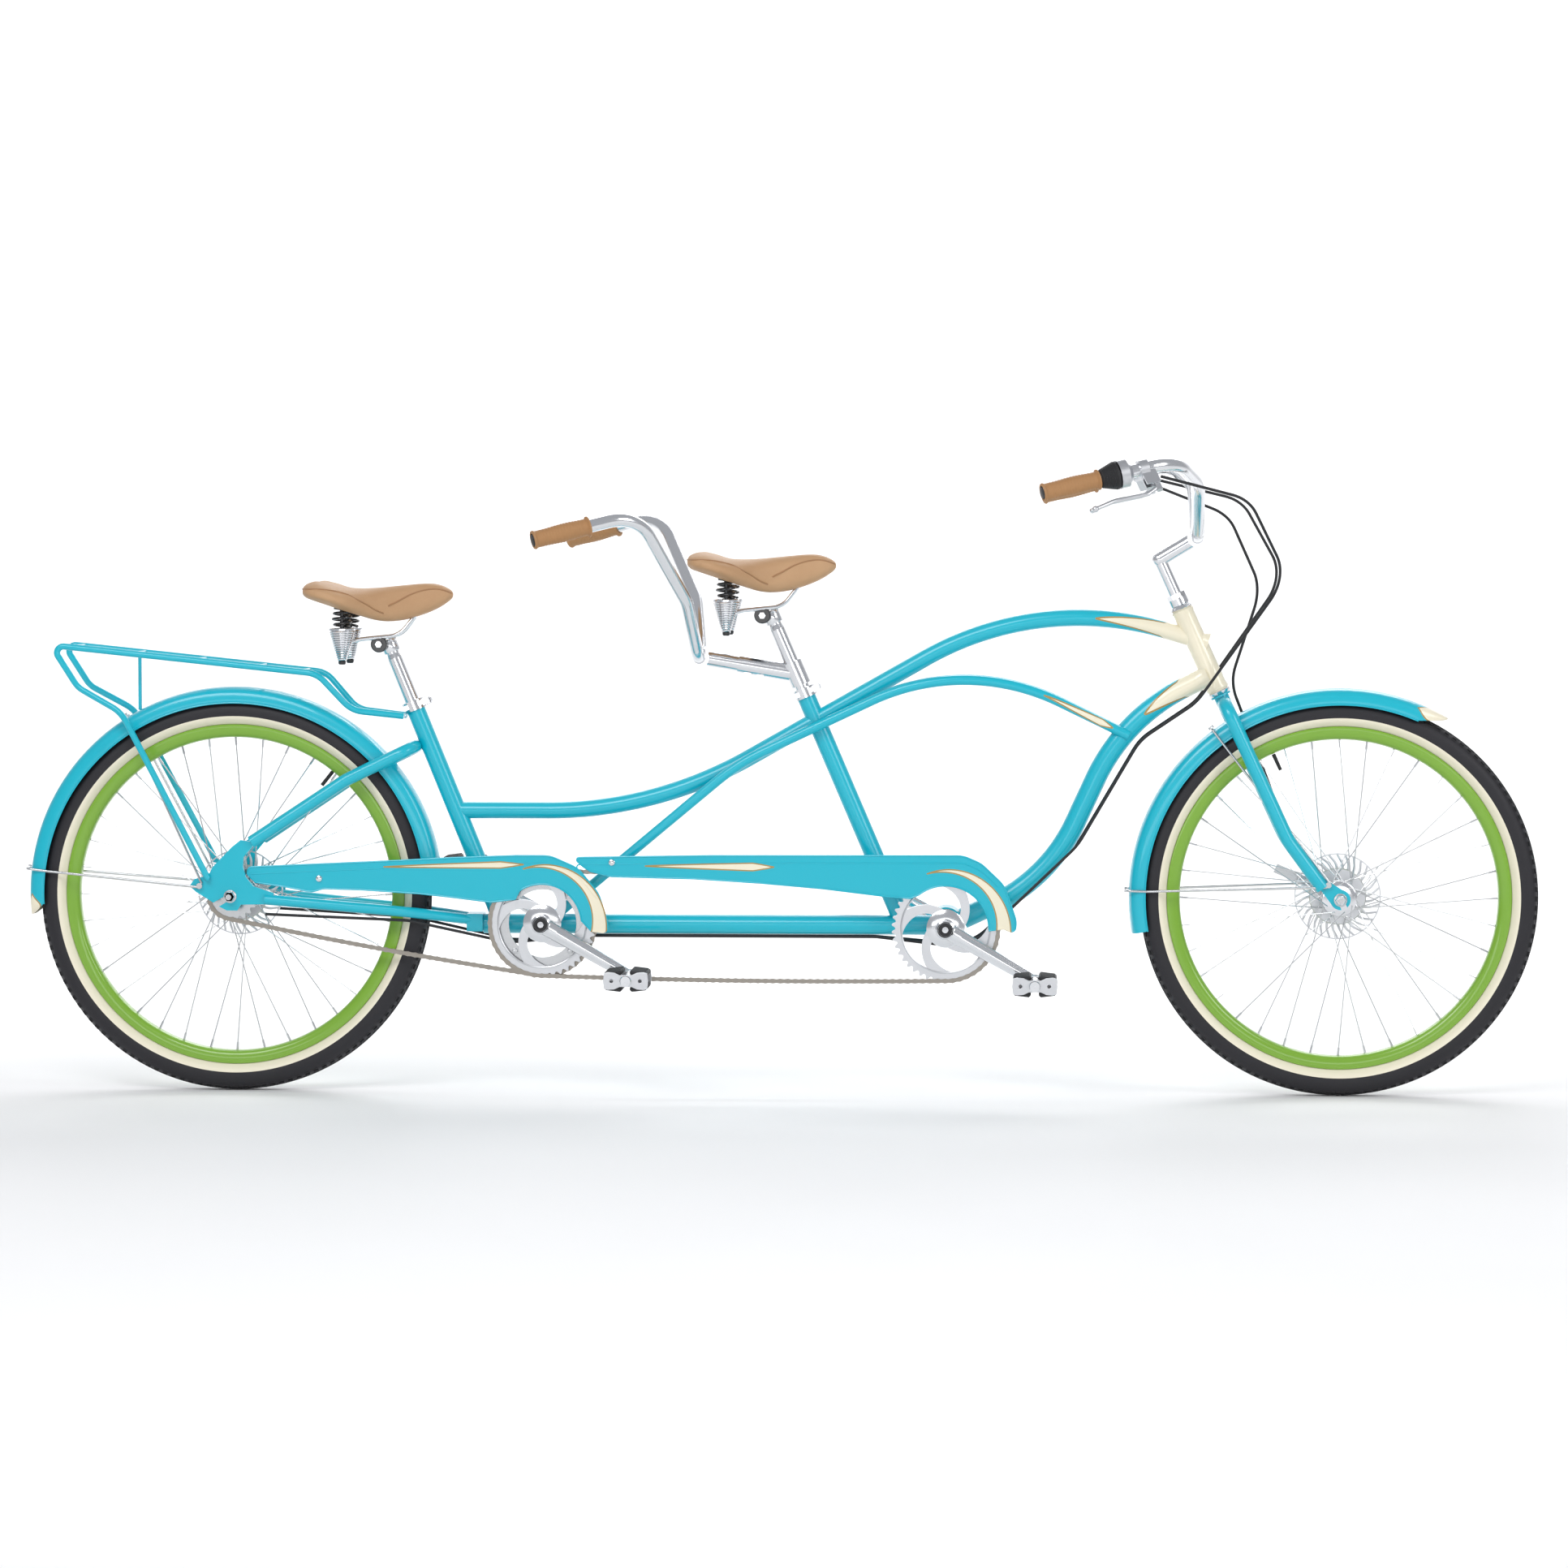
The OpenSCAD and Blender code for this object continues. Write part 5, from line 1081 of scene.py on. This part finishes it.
STATIONS = ((-0.1275, 0.066, 0.103, 0.082), (-0.1245, 0.086, 0.1085, 0.079), (-0.116, 0.101, 0.1108, 0.0765),
            (-0.100, 0.109, 0.1095, 0.0715), (-0.080, 0.111, 0.1045, 0.065), (-0.062, 0.107, 0.0985, 0.0585),
            (-0.045, 0.096, 0.0955, 0.0530), (-0.028, 0.079, 0.0950, 0.0475), (-0.010, 0.062, 0.0957, 0.0415),
            (0.008, 0.050, 0.0972, 0.0385), (0.028, 0.041, 0.0992, 0.0392), (0.048, 0.035, 0.1012, 0.0425),
            (0.068, 0.030, 0.1030, 0.0485), (0.086, 0.0265, 0.1040, 0.0550), (0.102, 0.0235, 0.1040, 0.0620),
            (0.114, 0.0195, 0.1010, 0.0690), (0.123, 0.0140, 0.0960, 0.0750), (0.128, 0.0080, 0.0910, 0.0800))


def saddle_form(shrink=0.0, around_count=44):
    """Sections across the saddle, lofted from the back to the nose and closed at both ends."""
    bm = bmesh.new()
    rings = []
    for x, w, top, low in STATIONS:
        w, top, low = w - shrink, top - shrink, low + shrink
        mid, half = (top + low) / 2, (top - low) / 2
        ring = []
        for k in range(around_count):
            a = 2 * math.pi * k / around_count
            c, s = math.cos(a), math.sin(a)
            y = w * math.copysign(abs(c) ** 0.62, c)
            dip = 0.004 * (1 - min(1.0, abs(y) / 0.05) ** 2) * (1 if x < -0.05 else 0) if s > 0 else 0
            z = mid + half * (math.copysign(abs(s) ** 0.62, s) if s > 0 else -abs(s) ** 0.45) - dip
            if s > 0:
                z -= 0.006 * (abs(y) / 0.11) ** 2
            ring.append(bm.verts.new((x, y, z)))
        rings.append(ring)
    for a, b in zip(rings, rings[1:]):
        for i in range(around_count):
            n = (i + 1) % around_count
            bm.faces.new((a[i], a[n], b[n], b[i]))
    bm.faces.new(rings[0])
    bm.faces.new(rings[-1][::-1])
    bmesh.ops.triangulate(bm, faces=[f for f in bm.faces if len(f.verts) > 4])
    bmesh.ops.recalc_face_normals(bm, faces=bm.faces)
    mesh = bpy.data.meshes.new("saddle")
    bm.to_mesh(mesh)
    bm.free()
    return mesh


def puffed(mesh, cap):
    """The cover filled by its own pressure in a cloth simulation, no point moving more than cap."""
    ob = bpy.data.objects.new("cover", mesh)
    bpy.context.scene.collection.objects.link(ob)
    remesh = ob.modifiers.new("even", "REMESH")
    remesh.mode, remesh.voxel_size = "VOXEL", 0.005
    bpy.context.view_layer.update()
    even = bpy.data.meshes.new_from_object(ob.evaluated_get(bpy.context.evaluated_depsgraph_get()))
    ob.modifiers.remove(remesh)
    ob.data = even
    start = [v.co.copy() for v in even.vertices]
    cloth = ob.modifiers.new("cloth", "CLOTH")
    cloth.settings.use_pressure, cloth.settings.uniform_pressure_force = True, 4
    cloth.settings.effector_weights.gravity = 0
    cloth.settings.tension_stiffness = cloth.settings.compression_stiffness = 25
    for frame_number in range(1, 21):
        bpy.context.scene.frame_set(frame_number)
    moved = bpy.data.meshes.new_from_object(ob.evaluated_get(bpy.context.evaluated_depsgraph_get()))
    ob.modifiers.remove(cloth)
    for v, was in zip(moved.vertices, start):
        step = v.co - was
        if step.length > cap:
            v.co = was + step.normalized() * cap
    ob.data = moved
    bpy.context.scene.frame_set(1)
    smooth = ob.modifiers.new("even out", "SMOOTH")
    smooth.factor, smooth.iterations = 0.5, 6
    sub = ob.modifiers.new("soft", "SUBSURF")
    sub.levels = sub.render_levels = 1
    bpy.context.view_layer.update()
    made = bpy.data.meshes.new_from_object(ob.evaluated_get(bpy.context.evaluated_depsgraph_get()))
    bpy.data.objects.remove(ob)
    return made


cover = puffed(saddle_form(0.002), 0.0022)
tree = BVHTree.FromPolygons([v.co for v in cover.vertices], [p.vertices for p in cover.polygons])


def on_cover(x, z, side):
    hit = tree.ray_cast(Vector((x, side * 0.3, z)), Vector((0, -side, 0)))[0]
    return hit if hit is not None else Vector((x, side * 0.02, z))


crease_back = [(-0.074, 0.0925), (-0.060, 0.0895), (-0.045, 0.0850), (-0.030, 0.0765), (-0.016, 0.0680),
               (-0.003, 0.0590),
               (0.010, 0.0530)]
crease_nose = [(0.018, 0.0655), (0.034, 0.0735), (0.048, 0.0815), (0.060, 0.0870), (0.074, 0.0915), (0.088, 0.0938),
               (0.102, 0.0935), (0.114, 0.0905), (0.122, 0.0870)]
seams = []
for side in (1, -1):
    seams.append([on_cover(x, z, side) for x, z in crease_nose])
rear = [on_cover(x, z, 1) for x, z in crease_back[::-1]]
for k in range(25):
    a = math.radians(70 + 220 * k / 24)
    out = Vector((-0.045 + 0.3 * math.cos(a), 0.3 * math.sin(a), 0.0945))
    hit = tree.ray_cast(out, (Vector((-0.045, 0, 0.0945)) - out).normalized())[0]
    if hit is not None and hit.x < -0.078:
        rear.append(hit)
rear += [on_cover(x, z, -1) for x, z in crease_back]
seams.append(rear)


def eased(points, n=5):
    """A smooth line through points."""
    out = []
    for i in range(len(points) - 1):
        p = [points[min(max(j, 0), len(points) - 1)] for j in (i - 1, i, i + 1, i + 2)]
        for k in range(n):
            t = k / n
            out.append(0.5 * (2 * p[1] + (p[2] - p[0]) * t + (2 * p[0] - 5 * p[1] + 4 * p[2] - p[3]) * t * t +
                              (3 * p[1] - p[0] - 3 * p[2] + p[3]) * t ** 3))
    return out + [points[-1]]


def coil(origin, turns, wire, radius, height):
    """A spring: radius and height are functions of the share of its length."""
    n = int(turns * 16)
    return sweep([origin + Vector((radius(k / n) * math.cos(2 * math.pi * turns * k / n),
                                   radius(k / n) * math.sin(2 * math.pi * turns * k / n), height(k / n)))
                  for k in range(n + 1)], wire, 8, Vector((0, 0, 1)))


for who, top, direction, up_by in (("captain", seat1_top, seat1_dir, 0.150), ("stoker", seat2_top, seat2_dir, 0.120)):
    c = top + direction * (up_by - 0.012) + Vector((-0.014, 0, 0))
    body = f"{who}_seat"
    mesh = cover.copy()
    mesh.transform(Matrix.Translation(c))
    pad = add_object(f"{who}_saddle_cover", mesh, body, leather, [f"{who}_saddle"], 80)
    line = [[p + c for p in eased(s)] for s in seams]
    cords = [painted(sweep(s, 0.0013, 8), welt) for s in line]
    add_object(f"{who}_saddle_welt", merged(*cords), body)
    pan = saddle_form(0.009, 32)
    pan.transform(Matrix.Translation(c + Vector((0, 0, -0.006))) @ Matrix.Diagonal((0.95, 0.93, 1, 1)))
    bm = bmesh.new()
    bm.from_mesh(pan)
    bmesh.ops.bisect_plane(bm, geom=bm.verts[:] + bm.edges[:] + bm.faces[:], plane_co=c + Vector((0, 0, 0.066)),
                           plane_no=Vector((0.1, 0, 1)), clear_outer=True)
    bm.to_mesh(pan)
    bm.free()
    frame_parts = []
    rail = smooth_path([Vector(p) for p in ((-0.066, 0.050, -0.004), (-0.036, 0.036, 0.008), (0.034, 0.020, 0.015),
                                            (0.060, 0.009, 0.049), (0.060, -0.009, 0.049), (0.034, -0.020, 0.015),
                                            (-0.036, -0.036, 0.008), (-0.066, -0.050, -0.004))],
                       [0.04, 0.04, 0.005, 0.005, 0.04, 0.04])
    frame_parts.append(painted(sweep([p + c for p in rail], 0.0035, 14), polished))
    frame_parts.append(painted(lathe([(0, -0.0300), (0.0125, -0.0300), (0.014, -0.0285), (0.014, -0.012),
                                      (0.0128, -0.010),
                                      (0.0128, 0.010), (0.014, 0.012), (0.014, 0.0285), (0.0125, 0.030), (0, 0.030)],
                                     c, Y, 40), black_enamel))
    frame_parts.append(painted(lathe([(0.0112, -0.0135), (0.0142, -0.0135), (0.015, -0.0125), (0.015, 0.0105),
                                      (0.0142, 0.0115),
                                      (0.0112, 0.0115), (0.0112,
                                                         -0.0135)], top + direction * (up_by - 0.0135), direction, 40),
                               polished))
    for s in (-1, 1):
        frame_parts.append(painted(lathe([(0, 0.030), (0.006, 0.030), (0.0068, 0.032), (0.0068, 0.0355),
                                          (0.0055, 0.037),
                                          (0, 0.037)], c, Y * s, 6), polished))
        foot = c + Vector((-0.060, s * 0.050, -0.032))
        frame_parts.append(painted(coil(foot, 13, 0.0019, lambda t: 0.0060 + 0.0150 * t, lambda t: 0.004 + 0.050 * t),
                                   polished))
        frame_parts.append(painted(coil(foot, 3.2, 0.0024, lambda t: 0.0140 - 0.0015 * math.cos(6.28 * t),
                                        lambda t: 0.061 + 0.030 * t), black_enamel))
        frame_parts.append(painted(lathe([(0.0045, 0.0545), (0.0205, 0.0545), (0.0222, 0.0560), (0.0222, 0.0590),
                                          (0.0200, 0.0600), (0.0045, 0.0600), (0.0045,
                                                                               0.0545)], foot, Vector((0, 0, 1)), 40),
                                   polished))
        frame_parts.append(painted(lathe([(0, -0.002), (0.005, -0.002), (0.0065, 0), (0.0065, 0.004), (0.004, 0.006),
                                          (0.0035, 0.090), (0.014, 0.092), (0.014, 0.095), (0, 0.095)],
                                         foot, Vector((0, 0, 1)), 24), black_enamel))
    add_object(f"{who}_saddle_springs", merged(*frame_parts), body, None, [f"{who}_saddle_frame"], 40)
    add_object(f"{who}_saddle_pan", pan, body, black_plastic)

# ---------------------------------------------------------------- fork
# Unicrown fork of tapered steel blades under the frame's enamel, kept from the frame.
dress(cyan_paint, "fork")

# ---------------------------------------------------------------- grips and shifter
# Moulded tan grips with a ribbed palm swell and a black end plug, and a black rubber twist sleeve
# beside the right one. Each stands on the axis of the bar end below it.
grip_tan = plain("tan grip rubber", (0.42, 0.215, 0.085), 0.58, 0, 0, 700, 0.15)


def sleeve_axis(node, side, like=None):
    """The bar side and the open end of one grip's axis, from the vertices of its node, or along like's axis."""
    pts = np.array([v.co[:] for v in NODE[node].data.vertices if v.co.y * side > 0])
    middle = pts.mean(axis=0)
    if like:
        p, q = sleeve_axis(like, side)
        way = np.array((q - p).normalized())
    else:
        way = np.linalg.svd(pts - middle, full_matrices=False)[2][0]
    share = (pts - middle) @ way
    a, b = Vector(middle + way * share.min()), Vector(middle + way * share.max())
    return (a, b) if a.x > b.x else (b, a)


for node, body in (("front_grips", "steering"), ("stoker_grips", "stoker_handlebar")):
    made = []
    for side in (1, -1):
        a, b = sleeve_axis(node, side)
        long = (b - a).length
        body_line = [(0.0113, 0.0), (0.0150, 0.0), (0.0172, 0.0012), (0.0172, 0.0032), (0.0150, 0.0048)]
        for k in range(70):
            t = k / 69
            swell = 0.0140 + 0.0013 * math.sin(math.pi * min(1.0, t * 1.15)) ** 2
            rib = 0.00035 * math.cos(2 * math.pi * t * 17) if 0.06 < t < 0.9 else 0
            body_line.append((swell + rib, 0.006 + (long - 0.012) * t))
        body_line += [(0.0152, long - 0.0045), (0.0158, long - 0.0030), (0.0150, long - 0.0010),
                      (0.0113, long - 0.0008)]
        made.append(painted(lathe(body_line, a, b - a, 40), grip_tan))
        made.append(painted(lathe([(0, long + 0.0012), (0.0065, long + 0.0010), (0.0095, long),
                                   (0.0100, long - 0.0010),
                                   (0.0100, long - 0.004), (0, long - 0.004)], a, b - a, 32), black_plastic))
    add_object(node + "_moulded", merged(*made), body, None, [node], 30)

a, b = sleeve_axis("twist_grip", -1, "front_grips")
long = (b - a).length
sleeve = [(0.0115, 0.0), (0.0215, 0.0), (0.0232, 0.0016), (0.0232, 0.0040)]
sleeve += [(0.0228 - 0.0072 * (k / 30) + 0.0005 * math.cos(k * 2.1),
            0.0048 + (long - 0.0072) * k / 30) for k in range(31)]
sleeve += [(0.0150, long - 0.0010), (0.0140, long), (0.0115, long), (0.0115, 0.0)]
add_object("twist_sleeve", lathe(sleeve, a, b - a, 48), "gear_twist_grip", black_rubber, ["twist_grip"], 30)

# ---------------------------------------------------------------- brake and gear cables
# Black 5 mm housings: two long runs from the bar, looping ahead of the head tube and back under the
# boom to the rear hub. The short one to the front brake is the CAD solid.
bar_x, bar_z, elbow_z = 1.3842, 1.0213, 0.90929
low_x, low_z = 1.677742, 0.687178
under = 0.2671
for s, word in ((1, "left"), (-1, "right")):
    route = smooth_path([at(x, s * y, z) for x, y, z in (
        (bar_x + 0.190, 0.254, bar_z + 0.026), (low_x + 0.044, 0.170, elbow_z + 0.101),
        (low_x + 0.112, 0.060, low_z + 0.193), (low_x - 0.038, 0.028, low_z - 0.019),
        (low_x - 0.133, 0.026, low_z - 0.083), (1.439774, 0.025, 0.425), (1.256774, 0.037, 0.251),
        (1.096774, 0.007, under), (0.611, 0.007, under), (0.471, 0.030, 0.257), (0.300, 0.040, 0.2945),
        (0.060, 0.070, 0.3065))], [0.09, 0.08, 0.09, 0.09, 0.12, 0.08, 0.06, 0.06, 0.1, 0.06])
    length = sum((q - p).length for p, q in zip(route, route[1:]))
    cable = add_object(f"long_{word}_cable", sweep(route, 0.0025, 12), None, black_rubber, ["long_cables"], 60)
    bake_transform(cable)
